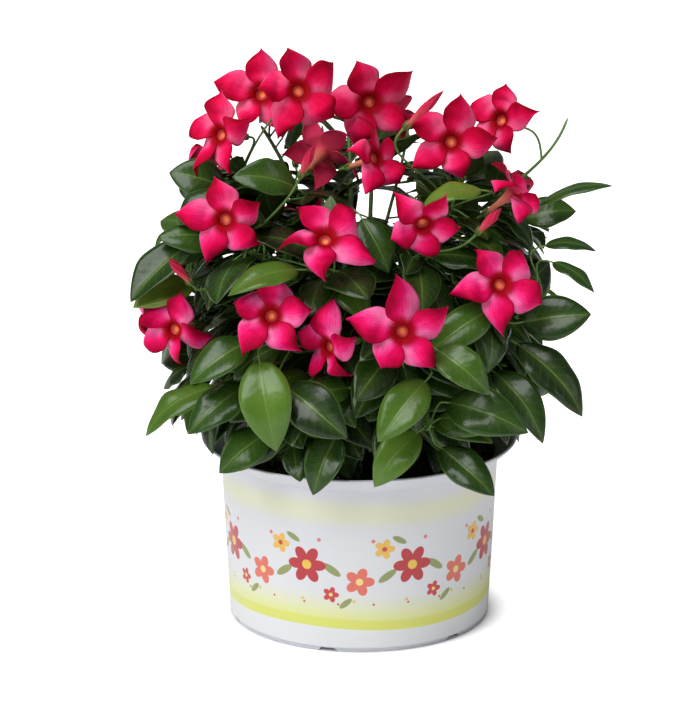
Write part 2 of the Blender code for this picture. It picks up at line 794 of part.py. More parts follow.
def lay_fill_leaves(shoots, blooms, large, obstacles, draw):
    """Leaves at the shoots' leaf sites, the outermost first, each in the first clear position."""
    leaves = []
    sites = leaf_sites(shoots, draw)
    for half in (0, 1):
        for site in sites:
            for trial in range(len(LEAF_TURNS) * len(LEAF_SIZES)):
                size = LEAF_SIZES[trial // len(LEAF_TURNS)]
                leaf = try_leaf(site, half, trial, size, draw)
                if leaf and leaf_fits(leaf, blooms, large, obstacles):
                    obstacles.add(leaf_guard(leaf))
                    leaves.append(leaf)
                    break
    return leaves


def lay_plant():
    """All records of the plant, in the order in which they take their places."""
    draw = random.Random(SEED)
    obstacles = Obstacles()
    shoots = lay_shoots()
    for shoot in shoots:
        obstacles.add(tube(shoot.points, [radius + GUARD for radius in shoot.radii], 6))
    blooms = lay_blooms(obstacles, draw)
    buds = []
    for foot, tip in BUDS:
        span = metres(tip) - metres(foot)
        buds.append(Bud(metres(foot), span.normalized(), span.length))
    for bud in buds:
        obstacles.add(bud_solid(bud, swell=GUARD))
    stalks = []
    for bloom in blooms:
        end = bloom.throat - bloom.axis * (TUBE_LENGTH + CLEAR)
        stalks.append(stalk_to(end, bloom.axis, CALYX_LENGTH, CALYX_RADIUS, shoots, obstacles))
    for bud in buds:
        end = bud.foot - bud.axis * CLEAR
        stalks.append(stalk_to(end, bud.axis, CALYX_LENGTH, CALYX_RADIUS, shoots, obstacles))
    large = lay_large_leaves(shoots, obstacles, draw)
    fill = lay_fill_leaves(shoots, blooms, large, obstacles, draw)
    return shoots, blooms, buds, stalks, large, fill


def material(name, colour, roughness):
    """Principled material with a linear colour."""
    made = bpy.data.materials.new(name)
    made.use_nodes = True
    shader = made.node_tree.nodes["Principled BSDF"]
    shader.inputs["Base Color"].default_value = (*colour, 1)
    shader.inputs["Roughness"].default_value = roughness
    made.diffuse_color = (*colour, 1)
    return made


def add_object(name, solid, look):
    verts, faces = solid
    mesh = bpy.data.meshes.new(name)
    mesh.from_pydata(verts, [], faces)
    outside = bmesh.new()
    outside.from_mesh(mesh)
    bmesh.ops.recalc_face_normals(outside, faces=outside.faces)
    outside.to_mesh(mesh)
    outside.free()
    mesh.materials.append(look)
    made = bpy.data.objects.new(name, mesh)
    bpy.context.scene.collection.objects.link(made)
    return made


def joined(solids):
    """Several solids that don't touch, as one list of vertices and one of faces."""
    verts = []
    faces = []
    for more_verts, more_faces in solids:
        start = len(verts)
        verts += more_verts
        faces += [tuple(index + start for index in face) for face in more_faces]
    return verts, faces


def round_bar(centre, radius, low, high, sides):
    """Upright prism with a regular outline."""
    ring = [Vector((centre[0] + radius * math.cos(2 * math.pi * k / sides),
                    centre[1] + radius * math.sin(2 * math.pi * k / sides), 0)) for k in range(sides)]
    verts = [point + UP * low for point in ring] + [point + UP * high for point in ring]
    faces = [(k, (k + 1) % sides, (k + 1) % sides + sides, k + sides) for k in range(sides)]
    return verts, faces + [tuple(range(sides))[::-1], tuple(range(sides, 2 * sides))]


def notch_box(angle):
    """Box that cuts a notch through the foot ring at a bearing from the pot's axis."""
    along = Vector((math.cos(angle), math.sin(angle), 0))
    side = UP.cross(along) * (NOTCH_WIDTH / 2)
    outer = FOOT_RADIUS + NOTCH_LENGTH / 3
    inner = outer - NOTCH_LENGTH
    ring = [along * inner - side, along * outer - side, along * outer + side, along * inner + side]
    verts = [point - UP * CUTTER_MARGIN for point in ring] + [point + UP * NOTCH_HEIGHT for point in ring]
    faces = [(k, (k + 1) % 4, (k + 1) % 4 + 4, k + 4) for k in range(4)]
    return verts, faces + [(3, 2, 1, 0), (4, 5, 6, 7)]


def cut(target, solids, look):
    """Boolean difference by a hidden cutter object made of separate solids."""
    cutter = add_object(target.name + "_cutter", joined(solids), look)
    cutter.hide_render = True
    cutter.display_type = "WIRE"
    modifier = target.modifiers.new("cut", "BOOLEAN")
    modifier.operation = "DIFFERENCE"
    modifier.object = cutter


def pot_profile():
    """Radius and height of the pot's section, from the floor's middle over the lip to the underside."""
    lip = POT_LIP_RADIUS
    bore = WALL_TOP_RADIUS - POT_WALL
    return (
        (0, FLOOR), (WALL_FOOT_RADIUS - POT_WALL - 0.002, FLOOR),
        (WALL_FOOT_RADIUS - POT_WALL, FLOOR + 0.002), (bore, WALL_TOP + 0.001),
        (bore + 0.0095, POT_HEIGHT - 0.0080), (lip - 0.0030, POT_HEIGHT - 0.0005),
        (lip - 0.0012, POT_HEIGHT), (lip, POT_HEIGHT - 0.0016),
        (WALL_TOP_RADIUS + 0.0080, POT_HEIGHT - 0.0110), (WALL_TOP_RADIUS, WALL_TOP),
        (WALL_FOOT_RADIUS, FOOT_STEP + 0.001), (FOOT_RADIUS, FOOT_STEP), (FOOT_RADIUS, 0),
        (FOOT_RADIUS - FOOT_RING_WIDTH, 0), (FOOT_RADIUS - FOOT_RING_WIDTH - 0.002, RECESS),
        (PAD_RADIUS + 0.004, RECESS), (PAD_RADIUS, 0), (0, 0),
    )


def make_pot():
    """Turned pot with a recessed underside, notches through its foot ring and drainage holes."""
    look = material("white_plastic", (0.85, 0.86, 0.88), 0.35)
    profile = [Vector((radius, 0, height)) for radius, height in pot_profile()]
    mesh = bpy.data.meshes.new("pot")
    mesh.from_pydata(profile, [(k, k + 1) for k in range(len(profile) - 1)], [])
    mesh.materials.append(look)
    pot = bpy.data.objects.new("pot", mesh)
    bpy.context.scene.collection.objects.link(pot)
    turn = pot.modifiers.new("turn", "SCREW")
    turn.steps = POT_SIDES
    turn.render_steps = POT_SIDES
    turn.use_merge_vertices = True
    turn.merge_threshold = 0.00001
    notches = [notch_box(FIRST_NOTCH + 2 * math.pi * k / NOTCHES) for k in range(NOTCHES)]
    holes = []
    for k in range(DRAIN_HOLES):
        angle = 2 * math.pi * k / DRAIN_HOLES
        centre = (DRAIN_RING_RADIUS * math.cos(angle), DRAIN_RING_RADIUS * math.sin(angle))
        holes.append(round_bar(centre, DRAIN_RADIUS, -CUTTER_MARGIN, FLOOR + CUTTER_MARGIN, DRAIN_SIDES))
    cut(pot, notches + holes, look)


def soil_height(radius, angle):
    wave = math.sin(3 * angle + 1.0) * 0.6 + math.sin(5 * angle) * 0.4
    return SOIL_TOP + SOIL_SWELL * wave * radius / WALL_TOP_RADIUS


def bore_radius(height):
    """Inner radius of the pot's wall at a height."""
    low = FLOOR + 0.002
    share = (height - low) / (WALL_TOP + 0.001 - low)
    return WALL_FOOT_RADIUS - POT_WALL + share * (WALL_TOP_RADIUS - WALL_FOOT_RADIUS)


def make_soil():
    """Soil that fills the pot, with a plain blind hole for the foot of each stem."""
    look = material("potting_soil", (0.045, 0.030, 0.020), 0.95)
    low = FLOOR + CLEAR
    edge = bore_radius(SOIL_TOP - SOIL_SWELL) - CLEAR
    rings = (
        (bore_radius(low) - 0.0025, lambda radius, angle: low),
        (bore_radius(low + 0.003) - CLEAR, lambda radius, angle: low + 0.003),
        (edge, soil_height),
        (0.62 * edge, soil_height),
    )
    verts = []
    for radius, height in rings:
        for k in range(POT_SIDES):
            angle = 2 * math.pi * k / POT_SIDES
            x = radius * math.cos(angle)
            y = radius * math.sin(angle)
            verts.append(Vector((x, y, height(radius, angle))))
    faces = [tuple(range(POT_SIDES))[::-1]]
    for row in range(len(rings) - 1):
        for k in range(POT_SIDES):
            a = row * POT_SIDES + k
            b = row * POT_SIDES + (k + 1) % POT_SIDES
            faces.append((a, b, b + POT_SIDES, a + POT_SIDES))
    verts.append(Vector((0, 0, SOIL_TOP)))
    last = (len(rings) - 1) * POT_SIDES
    for k in range(POT_SIDES):
        faces.append((last + k, last + (k + 1) % POT_SIDES, len(verts) - 1))
    soil = add_object("soil", (verts, faces), look)
    holes = []
    for root, _ in STEMS:
        centre = (root[0] * MM, root[1] * MM)
        radius = (LEAD_RADII[0] + CLEAR) / math.cos(math.pi / HOLE_SIDES)
        low = SOIL_TOP - ROOT_DEPTH - CLEAR
        holes.append(round_bar(centre, radius, low, SOIL_TOP + 0.01, HOLE_SIDES))
    cut(soil, holes, look)


def fuse(name, solids, look):
    """One closed body from solids that grow out of each other, by a Boolean union."""
    target = add_object(name, solids[0], look)
    group = bpy.data.collections.new(name + "_parts")
    parts = [add_object(name + "_part", solid, look) for solid in solids[1:]]
    for part in parts:
        group.objects.link(part)
    modifier = target.modifiers.new("fuse", "BOOLEAN")
    modifier.operation = "UNION"
    modifier.solver = "MANIFOLD"
    modifier.operand_type = "COLLECTION"
    modifier.collection = group
    bpy.context.view_layer.update()
    graph = bpy.context.evaluated_depsgraph_get()
    fused = bpy.data.meshes.new_from_object(target.evaluated_get(graph))
    target.modifiers.clear()
    target.data = fused
    for part in parts:
        bpy.data.objects.remove(part)
    bpy.data.collections.remove(group)
    return target


def furthest_apart(leaves, large, count):
    """A number of the leaves that lie far from each other and from the large ones, and far out."""
    places = [leaf_point(leaf, 0, LEAF_BROADEST) for leaf in leaves]
    taken = [leaf_point(leaf, 0, LEAF_BROADEST) for leaf in large]
    gaps = [min((place - other).length for other in taken) for place in places]
    kept = []
    while len(kept) < count:
        scores = [gap + OUTER_WORTH * reach(place) for gap, place in zip(gaps, places)]
        best = scores.index(max(scores))
        kept.append(leaves[best])
        gaps = [min(gap, (place - places[best]).length) for gap, place in zip(gaps, places)]
        gaps[best] = -1
    return kept


def stalk_solid(stalk):
    """Flower stalk that widens into a small calyx with a flat end."""
    radii = [STALK_RADIUS] * (len(stalk.points) - 1) + [CALYX_RADIUS]
    return tube(stalk.points, radii, 4)


def make_plant():
    green = material("leaf_green", (0.035, 0.130, 0.020), 0.40)
    pink = material("petal_pink", (0.800, 0.015, 0.110), 0.50)
    rosy = material("bud_pink", (0.550, 0.040, 0.110), 0.50)
    shoots, blooms, buds, stalks, large, fill = lay_plant()
    fill = furthest_apart(fill, large, FILL_LEAVES)
    for stem in range(len(STEMS)):
        solids = [tube(shoot.points, shoot.radii, 5 if is_lead(shoot) else 4)
                  for shoot in shoots if shoot.stem == stem]
        solids += [stalk_solid(stalk) for stalk in stalks if stalk.stem == stem]
        solids += [leaf_solid(leaf, LARGE_LEAF_ROWS) for leaf in large if leaf.stem == stem]
        solids += [leaf_solid(leaf, FILL_LEAF_ROWS) for leaf in fill if leaf.stem == stem]
        fuse(f"leafy_stem_{stem + 1:02d}", solids, green)
    for number, bloom in enumerate(blooms):
        add_object(f"bloom_{number + 1:02d}", bloom_solid(bloom), pink)
    for number, bud in enumerate(buds):
        add_object(f"bud_{number + 1}", bud_solid(bud), rosy)


def main():
    for old in list(bpy.data.objects):
        bpy.data.objects.remove(old)
    make_pot()
    make_soil()
    make_plant()


main()
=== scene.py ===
"""Looks of a flowering mandevilla in a round plastic pot.

Metres, +Z up. The plant's records of shoots, blooms, stalks, buds and leaves are laid out by the
same rules and draws as the part's solids, and each piece here is a finer form of its solid. The
places in the lists below are in millimetres.
"""
import math
import random
from collections import namedtuple

import bpy
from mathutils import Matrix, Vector, noise
from mathutils.bvhtree import BVHTree


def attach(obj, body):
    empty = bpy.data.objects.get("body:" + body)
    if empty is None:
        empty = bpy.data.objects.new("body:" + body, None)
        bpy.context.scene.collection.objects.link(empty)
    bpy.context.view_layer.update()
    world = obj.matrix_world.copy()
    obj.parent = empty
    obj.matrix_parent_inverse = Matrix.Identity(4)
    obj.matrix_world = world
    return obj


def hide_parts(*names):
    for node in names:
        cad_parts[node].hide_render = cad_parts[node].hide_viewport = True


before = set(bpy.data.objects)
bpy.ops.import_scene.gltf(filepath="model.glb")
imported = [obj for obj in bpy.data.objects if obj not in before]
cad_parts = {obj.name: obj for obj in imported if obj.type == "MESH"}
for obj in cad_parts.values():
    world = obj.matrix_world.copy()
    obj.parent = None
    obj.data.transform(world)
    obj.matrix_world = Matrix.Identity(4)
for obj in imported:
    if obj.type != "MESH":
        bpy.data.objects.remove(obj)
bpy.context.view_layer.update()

MM = 0.001
UP = Vector((0, 0, 1))
SEED = 11

# Pot
POT_HEIGHT = 0.172
POT_LIP_RADIUS = 0.146
POT_WALL = 0.0025
WALL_TOP_RADIUS = 0.128
WALL_TOP = 0.156
WALL_FOOT_RADIUS = 0.1205
FOOT_RADIUS = 0.118
FOOT_RING_WIDTH = 0.007
FOOT_STEP = 0.0035
RECESS = 0.004
PAD_RADIUS = 0.050
FLOOR = 0.0065
NOTCHES = 6
NOTCH_WIDTH = 0.014
NOTCH_HEIGHT = 0.003
FIRST_NOTCH = math.radians(-103.6)

# Soil
SOIL_TOP = 0.150
SOIL_SWELL = 0.0015
CLEAR = 0.0003
ROOT_DEPTH = 0.030

# Crown
CROWN_CENTRE = Vector((0, 0, 0.300))
CROWN_RADII = Vector((0.200, 0.190, 0.220))
CROWN_REACH = 1.08
EYE = Vector((-0.0086, -3.17, 1.154))
GUARD = 0.0008
POT_GUARD = 0.006

# Stems
ROOT_LEAN = 6
ROOT_RISE = 3
LEAD_PULL = (0.40, 0.30)
SIDE_PULL = (0.35, 0.30)
LEAD_RADII = (0.0032, 0.0016)
LEAD_POINTS = 8
SIDE_RADII = (0.0019, 0.0012)
TIP_RISE = 1.8
SIDE_POINTS = 5
STALK_RADIUS = 0.0011
STALK_POINTS = 4
STALK_TRIES = 80
SHORTEST_STALK = 0.008
STALK_SHARES = (0.1, 0.4, 0.7)
STALK_BULGE = 0.4
STALK_FREE = 0.45
ALONG_COST = 0.03
CALYX_RADIUS = 0.0026
CALYX_LENGTH = 0.005
CALYX_GUARD = 0.0006
TUBE_ACROSS = Vector((1, 0.3, 0.1))

# Leaves
LEAF_STALK = 0.013
LEAF_STALK_WIDTH = 0.0022
LEAF_SPACING = 0.034
FIRST_SPACING = 0.006
INNERMOST_SITE = 0.30
LOWEST_SITE = 0.180
SITE_MIX = 0.25
LEAF_LENGTH = (0.062, 0.088)
LEAF_SLIM = (0.52, 0.62)
LEAF_DROOP = (0.15, 0.75)
LEAF_SAG = (0.07, 0.13)
LEAF_FOLD = (0.08, 0.28)
LARGE_SAG = (0.08, 0.14)
LARGE_FOLD = (0.18, 0.42)
GUARDED_STALK = 0.006
GUARD_ROWS = (0.3, 0.7)
UNDER_GUARD = 1.8
LEAF_VIEW_SHARE = 0.36
LEAF_TURNS = (0, 28, -28, 56, -56, 84, -84)
LEAF_SIZES = (1.0, 0.85, 0.70)
LEAF_SHIFTS = (0, -8, 8, -16, 16, -24, 24, 32, 40)
SITE_ACROSS = UP + Vector((0.31, 0.17, 0))
STEM_TURN = 20
MOST_INWARD = -0.05
LEAST_FACE = 0.25

# Blooms
PETALS = 5
PETAL_THICK = 0.0010
SINUS_SHARE = 0.47
PETAL_LONG = (0.84, 1.16)
PETAL_BROAD = (0.08, 0.18)
PETAL_TAPER = 1.5
PETAL_CURL = (0.00, 0.42)
PETAL_TWIST = (0.15, 0.55)
FOLDED_SHARE = 0.35
FOLDED_TWIST = (0.90, 1.40)
PETAL_LEAN = (0.02, 0.28)
PETAL_RIDGE = 0.06
PETAL_ROWS = (0.45, 0.78)
THROAT_SHARE = 0.16
THROAT_RISE = -0.0030
THROAT_DEPTH = 0.014
TUBE_LENGTH = 0.038
TUBE_RADIUS = 0.0020
FUNNEL_RADIUS = 0.0034
FUNNEL_DEPTH = 0.020
REAR_BLOOMS = 7
REAR_TURNS = (96, 264)
REAR_LIFTS = (-20, 58)
REAR_SPANS = (72, 82)
REAR_STEPS = (0.618, 0.137)
REAR_STARTS = (0.35, 0.06)
REAR_LEVEL = 0.6
REAR_RISE = 4
BLOOM_GUARD = 0.0010
FACE_DEPTH = (0.004, 0.060)
FACE_SHARE = 0.75
VIEW_SHARE = 0.85
BUD_RADIUS = 0.0036
BUD_GUARD_SHAPE = ((0.0, 0.55), (0.30, 0.75), (0.58, 1.0), (0.80, 0.72), (1.0, 0.12))

# Root and shoot tips of each stem; the first tip is the leading shoot's
STEMS = (
    ((-36, 4), ((-115, 10, 415), (-150, -10, 385))),
    ((-14, 14), ((-88, 52, 446), (-34, 78, 440))),
    ((8, 10), ((15, 20, 445), (45, 50, 450))),
    ((-34, -18), ((-105, -70, 365), (-170, -20, 330))),
    ((-8, -14), ((-30, -85, 352), (-62, -118, 290))),
    ((18, -12), ((55, -70, 360), (85, -30, 400))),
    ((40, -18), ((118, -75, 322), (170, -40, 318))),
    ((34, 8), ((95, 10, 410), (135, 30, 405), (186, 0, 464))),
    ((-56, -14), ((-150, -50, 250), (-118, -108, 226))),
    ((-24, -40), ((-38, -105, 250), (-66, -128, 212))),
    ((12, -40), ((38, -118, 282), (62, -132, 218))),
    ((48, -40), ((128, -88, 262), (165, -30, 240))),
    ((-42, 32), ((-105, 105, 385), (-160, 60, 300))),
    ((-6, 40), ((-10, 125, 425), (-30, 168, 320), (0, 160, 240))),
    ((34, 34), ((105, 105, 395), (155, 75, 300))),
    ((-28, 62), ((-95, 125, 250),)),
    ((26, 62), ((90, 130, 255),)),
)
SIDE_STARTS = (0.44, 0.58)

# Blooms of the front: middle of the throat, bearing from the front and lift in degrees, span,
# and the first petal's angle clockwise from the top
BLOOMS = (
    ((-127, -30, 459), -42, 12, 78, 0),
    ((-90, 40, 482), -12, 22, 84, -2),
    ((-54, -34, 500), 10, 18, 86, -4),
    ((9, 8, 480), 5, 4, 86, -14),
    ((16, -50, 443), 50, 22, 70, 10),
    ((-33, 28, 431), 155, 20, 70, 30),
    ((-118, -118, 402), -5, 5, 80, -5),
    ((-30, -130, 390), 6, 48, 86, -18),
    ((56, -118, 397), 10, -15, 74, 32),
    ((124, -120, 345), 14, 22, 84, -22),
    ((81, -40, 455), -5, 15, 78, 20),
    ((126, 22, 462), -38, 20, 76, 5),
    ((140, -55, 414), 76, 38, 74, 15),
    ((-78, -150, 325), -8, 24, 82, 8),
    ((-168, -74, 290), -32, 4, 76, 25),
    ((-30, -142, 293), -50, 0, 74, 5),
    ((37, -172, 315), 3, 3, 88, 0),
)

# Buds: foot and tip
BUDS = (
    ((41, -46, 470), (74, -54, 504)),
    ((-52, -92, 436), (-40, -104, 466)),
    ((104, -98, 386), (124, -106, 410)),
    ((-150, -96, 340), (-168, -110, 366)),
    ((-60, 150, 390), (-66, 168, 418)),
    ((-118, 132, 366), (-134, 152, 392)),
)

# Large leaves that show at the front: foot and tip of the blade, width, and how far the blade
# turns its face from the sky (0) to the front (1)
LARGE_LEAVES = (
    ((161, -20, 392), (226, -30, 414), 26, 0.1),
    ((166, -50, 362), (212, -50, 359), 26, 0.2),
    ((172, -70, 352), (208, -92, 330), 24, 0.3),
    ((144, -90, 302), (205, -100, 312), 42, 0.9),
    ((140, -98, 284), (200, -130, 232), 40, 0.55),
    ((118, -108, 262), (164, -150, 214), 34, 0.45),
    ((78, -132, 240), (144, -170, 228), 44, 0.8),
    ((72, -132, 198), (118, -168, 166), 34, 0.8),
    ((52, -142, 216), (12, -168, 176), 34, 0.5),
    ((58, -152, 266), (16, -186, 222), 38, 0.7),
    ((-88, -148, 284), (-74, -186, 214), 46, 0.9),
    ((-64, -146, 258), (-12, -182, 224), 44, 0.9),
    ((-128, -84, 240), (-194, -100, 204), 34, 0.3),
    ((-100, -112, 250), (-152, -138, 214), 38, 0.7),
    ((-150, -44, 362), (-204, -70, 314), 40, 0.5),
    ((-148, -56, 330), (-202, -82, 314), 32, 0.8),
    ((-98, -118, 292), (-150, -140, 262), 38, 0.6),
    ((-122, 0, 404), (-172, 0, 418), 38, 0.9),
    ((-56, -48, 414), (-112, -66, 430), 34, 0.7),
    ((108, -62, 416), (56, -84, 412), 28, 0.35),
    ((116, -128, 326), (62, -156, 296), 34, 0.9),
    ((68, -138, 290), (112, -164, 260), 36, 0.8),
    ((-20, -140, 212), (-42, -168, 168), 34, 0.5),
    ((-82, -112, 206), (-124, -142, 180), 34, 0.7),
    ((-54, -112, 356), (-114, -142, 346), 32, 0.45),
    ((-10, -128, 252), (-58, -154, 248), 32, 0.6),
    ((-118, -42, 406), (-164, -52, 384), 34, 0.6),
    ((2, -78, 394), (26, -104, 352), 34, 0.6),
    ((-126, -50, 368), (-180, -62, 372), 34, 0.7),
    ((150, 0, 374), (196, 0, 384), 32, 0.8),
)

# Outline of the foliage as it shows from the front, on the upright plane through the pot's axis
OUTLINE = (
    (-145, 150), (-180, 180), (-188, 220), (-196, 265), (-200, 310), (-190, 345), (-178, 380),
    (-168, 405), (-155, 440), (-135, 475), (-100, 492), (-55, 490), (-15, 482), (30, 475), (60, 458),
    (95, 452), (130, 450), (150, 435), (165, 410), (176, 370), (176, 335), (186, 300), (178, 260),
    (190, 220), (175, 185), (140, 155), (110, 135), (60, 122), (-30, 120), (-110, 132),
)

# Gaps in the crown that the leaves leave open, on the same plane: middle and radius
GAPS = (
    (-91, 447, 20), (8, 392, 14), (30, 392, 14), (146, 432, 14), (165, 406, 10), (-175, 315, 10),
    (-163, 297, 8), (62, 440, 12),
)

Shoot = namedtuple("Shoot", "stem curve points radii")
Bloom = namedtuple("Bloom", "throat axis across over radius petals front")
Petal = namedtuple("Petal", "long broad curl twist lean")
Stalk = namedtuple("Stalk", "stem curve points")
Bud = namedtuple("Bud", "foot axis length")
Leaf = namedtuple("Leaf", "stem curve points along normal length width sag fold")


def metres(place):
    return Vector(place) * MM


def between(limits, share):
    low, high = limits
    return low + (high - low) * share


def bearing(turn, lift):
    """Unit direction: turn in degrees from the front towards +X, lift in degrees above level."""
    turn = math.radians(turn)
    lift = math.radians(lift)
    level = math.cos(lift)
    return Vector((math.sin(turn) * level, -math.cos(turn) * level, math.sin(lift)))


def square_to(direction, towards):
    """Unit part of a direction that is square to another one."""
    return (towards - direction * towards.dot(direction)).normalized()


def turns(count):
    """Angles that share out a full turn."""
    return [2 * math.pi * k / count for k in range(count)]


def turned(across, over, angle):
    """Direction at an angle between two that are square to each other."""
    return across * math.cos(angle) + over * math.sin(angle)


def polar(radius, angle, height):
    return Vector((radius * math.cos(angle), radius * math.sin(angle), height))


def bezier(p0, p1, p2, p3, count):
    points = []
    for step in range(count):
        t = step / (count - 1)
        s = 1 - t
        points.append(p0 * s ** 3 + p1 * 3 * s * s * t + p2 * 3 * s * t * t + p3 * t ** 3)
    return points


def outward(point):
    """Unit direction out of the crown's rounded form at a point."""
    offset = point - CROWN_CENTRE
    return Vector([offset[i] / CROWN_RADII[i] ** 2 for i in range(3)]).normalized()


def reach(point):
    """0 in the crown's centre, 1 on its surface."""
    offset = point - CROWN_CENTRE
    return math.sqrt(sum((offset[i] / CROWN_RADII[i]) ** 2 for i in range(3)))


def front_view(point):
    """Where a point shows on the upright plane through the pot's axis, seen from the eye point."""
    share = -EYE.y / (point.y - EYE.y)
    return (EYE.x + (point.x - EYE.x) * share, EYE.z + (point.z - EYE.z) * share)


def in_outline(point):
    x, z = front_view(point)
    inside = False
    corners = [(a * MM, b * MM) for a, b in OUTLINE]
    for (x0, z0), (x1, z1) in zip(corners, corners[1:] + corners[:1]):
        if (z0 > z) != (z1 > z) and x < x0 + (x1 - x0) * (z - z0) / (z1 - z0):
            inside = not inside
    return inside


def in_gap(point):
    x, z = front_view(point)
    return any(math.hypot(x - a * MM, z - b * MM) < radius * MM for a, b, radius in GAPS)


def clear_of_pot(point):
    """True for a point over the soil and the lip, or out past the lip."""
    radius = math.hypot(point.x, point.y)
    if radius > POT_LIP_RADIUS + POT_GUARD:
        return True
    if radius > WALL_TOP_RADIUS - POT_GUARD:
        return point.z > POT_HEIGHT + POT_GUARD
    return point.z > SOIL_TOP + POT_GUARD


def stitch(first, second):
    """Triangles between two rows of vertex numbers."""
    faces = []
    i = 0
    j = 0
    while i < len(first) - 1 or j < len(second) - 1:
        more = i < len(first) - 1
        behind = (i + 1) * (len(second) - 1) <= (j + 1) * (len(first) - 1)
        if j == len(second) - 1 or (more and behind):
            faces.append((first[i], first[i + 1], second[j]))
            i += 1
        else:
            faces.append((first[i], second[j + 1], second[j]))
            j += 1
    return faces


def tube_rings(points, radii, sides):
    """Rings of points along a path, with a radius at each of its points."""
    across = square_to((points[1] - points[0]).normalized(), TUBE_ACROSS)
    rings = []
    for n, point in enumerate(points):
        tangent = (points[min(n + 1, len(points) - 1)] - points[max(n - 1, 0)]).normalized()
        across = square_to(tangent, across)
        over = tangent.cross(across)
        rings.append([point + turned(across, over, angle) * radii[n] for angle in turns(sides)])
    return rings


def tube(points, radii, sides):
    """Closed tube along a path."""
    verts = [vert for ring in tube_rings(points, radii, sides) for vert in ring]
    faces = []
    for n in range(len(points) - 1):
        for k in range(sides):
            a = n * sides + k
            b = n * sides + (k + 1) % sides
            faces.append((a, b, b + sides, a + sides))
    faces.append(tuple(reversed(range(sides))))
    faces.append(tuple(range(len(verts) - sides, len(verts))))
    return verts, faces


def slab(upper_rows, under_rows):
    """Closed blade from rows of points on its upper and under faces, down to a single tip."""
    verts = []
    numbers = []
    for rows in (upper_rows, under_rows):
        numbers.append([])
        for row in rows:
            numbers[-1].append(list(range(len(verts), len(verts) + len(row))))
            verts += row
    upper, under = numbers
    faces = [tuple(upper[0]) + tuple(reversed(under[0]))]
    for n in range(len(upper) - 1):
        faces += stitch(upper[n], upper[n + 1])
        faces += [(c, b, a) for a, b, c in stitch(under[n], under[n + 1])]
        faces.append((upper[n][0], upper[n + 1][0], under[n + 1][0], under[n][0]))
        faces.append((upper[n][-1], under[n][-1], under[n + 1][-1], upper[n + 1][-1]))
    return verts, faces


def leaf_outline(v):
    """Half width of a pointed oval blade, as a share of its widest half."""
    return math.sin(math.pi * v ** 0.86) ** 0.7


def leaf_point(leaf, u, v):
    """Point of the upper face: u across from -1 to 1, v from the blade's foot to its tip."""
    x = u * leaf.width / 2 * leaf_outline(min(v, 0.999))
    side = leaf.along.cross(leaf.normal)
    height = leaf.sag * 4 * v * (1 - v) + leaf.fold * abs(x)
    return leaf.points[-1] + side * x + leaf.along * (v * leaf.length) + leaf.normal * height


def petal_point(bloom, number, u, v):
    """Point of a petal's inner face: u across from -1 to 1, v from the throat's edge to the tip."""
    petal = bloom.petals[number]
    radius = bloom.radius
    sinus = radius * SINUS_SHARE
    step = math.pi / PETALS
    broad = math.sin(math.pi * min(v, 1)) ** PETAL_TAPER
    half = sinus * math.sin(step) * (1 - v) + radius * petal.broad * broad
    side = u * half + petal.lean * radius * v ** 3
    out = sinus * math.cos(step * u) * (1 - v) + radius * petal.long * v
    height = radius * (0.10 * math.sin(2.5 * v) - petal.curl * v * v)
    height += radius * PETAL_RIDGE * (1 - u * u) * math.sin(math.pi * v)
    height += petal.twist * u * half * math.sin(math.pi / 2 * v)
    angle = 2 * step * number
    x = out * math.cos(angle) - side * math.sin(angle)
    y = out * math.sin(angle) + side * math.cos(angle)
    return bloom.throat + bloom.across * x + bloom.over * y + bloom.axis * height


def ring_point(bloom, angle, radius, height):
    """Point round a bloom's axis, height above its throat."""
    around = turned(bloom.across, bloom.over, angle)
    return bloom.throat + around * radius + bloom.axis * height


def bloom_guard(bloom):
    """Corolla as one closed solid, a little thicker than it is: petals, funnel and tube."""
    step = math.pi / PETALS
    inner = []
    faces = []
    ring = []
    for number in range(PETALS):
        ring.append(petal_point(bloom, number, -1, 0))
        ring.append(petal_point(bloom, number, 0, 0))
    inner += ring
    rims = []
    for number in range(PETALS):
        base = [2 * number, 2 * number + 1, (2 * number + 2) % (2 * PETALS)]
        start = len(inner)
        inner += [petal_point(bloom, number, u, PETAL_ROWS[0]) for u in (-1, 0, 1)]
        inner += [petal_point(bloom, number, u, PETAL_ROWS[1]) for u in (-1, 1)]
        inner.append(petal_point(bloom, number, 0, 1))
        rows = [base, [start, start + 1, start + 2], [start + 3, start + 4], [start + 5]]
        for first, second in zip(rows, rows[1:]):
            faces += [(c, b, a) for a, b, c in stitch(first, second)]
        path = [row[0] for row in rows] + [row[-1] for row in reversed(rows[:-1])]
        rims += list(zip(path, path[1:]))
    count = len(inner)
    lift = bloom.axis * BLOOM_GUARD
    drop = bloom.axis * PETAL_THICK
    verts = [point + lift for point in inner] + [point - drop - lift for point in inner]
    faces += [(c + count, b + count, a + count) for a, b, c in faces]
    faces += [(a, b, b + count, a + count) for a, b in rims]

    throat = len(verts)
    sinus_angles = [2 * step * number - step for number in range(PETALS)]
    for angle in sinus_angles:
        verts.append(ring_point(bloom, angle, bloom.radius * THROAT_SHARE, THROAT_RISE))
    verts.append(ring_point(bloom, 0, 0, -THROAT_DEPTH))
    funnel = len(verts)
    for radius, depth in ((FUNNEL_RADIUS, FUNNEL_DEPTH), (TUBE_RADIUS, TUBE_LENGTH)):
        for angle in sinus_angles:
            verts.append(ring_point(bloom, angle, radius + BLOOM_GUARD, -depth))
    for number in range(PETALS):
        after = (number + 1) % PETALS
        edge = [2 * number, 2 * number + 1, 2 * after]
        faces += stitch([throat + number, throat + after], edge)
        faces.append((throat + number, throat + after, throat + PETALS)[::-1])
        back = [index + count for index in edge]
        faces += stitch(back, [funnel + number, funnel + after])
        a = funnel + number
        b = funnel + after
        faces.append((a, b, b + PETALS, a + PETALS)[::-1])
    faces.append(tuple(range(funnel + PETALS, funnel + 2 * PETALS))[::-1])
    return verts, faces


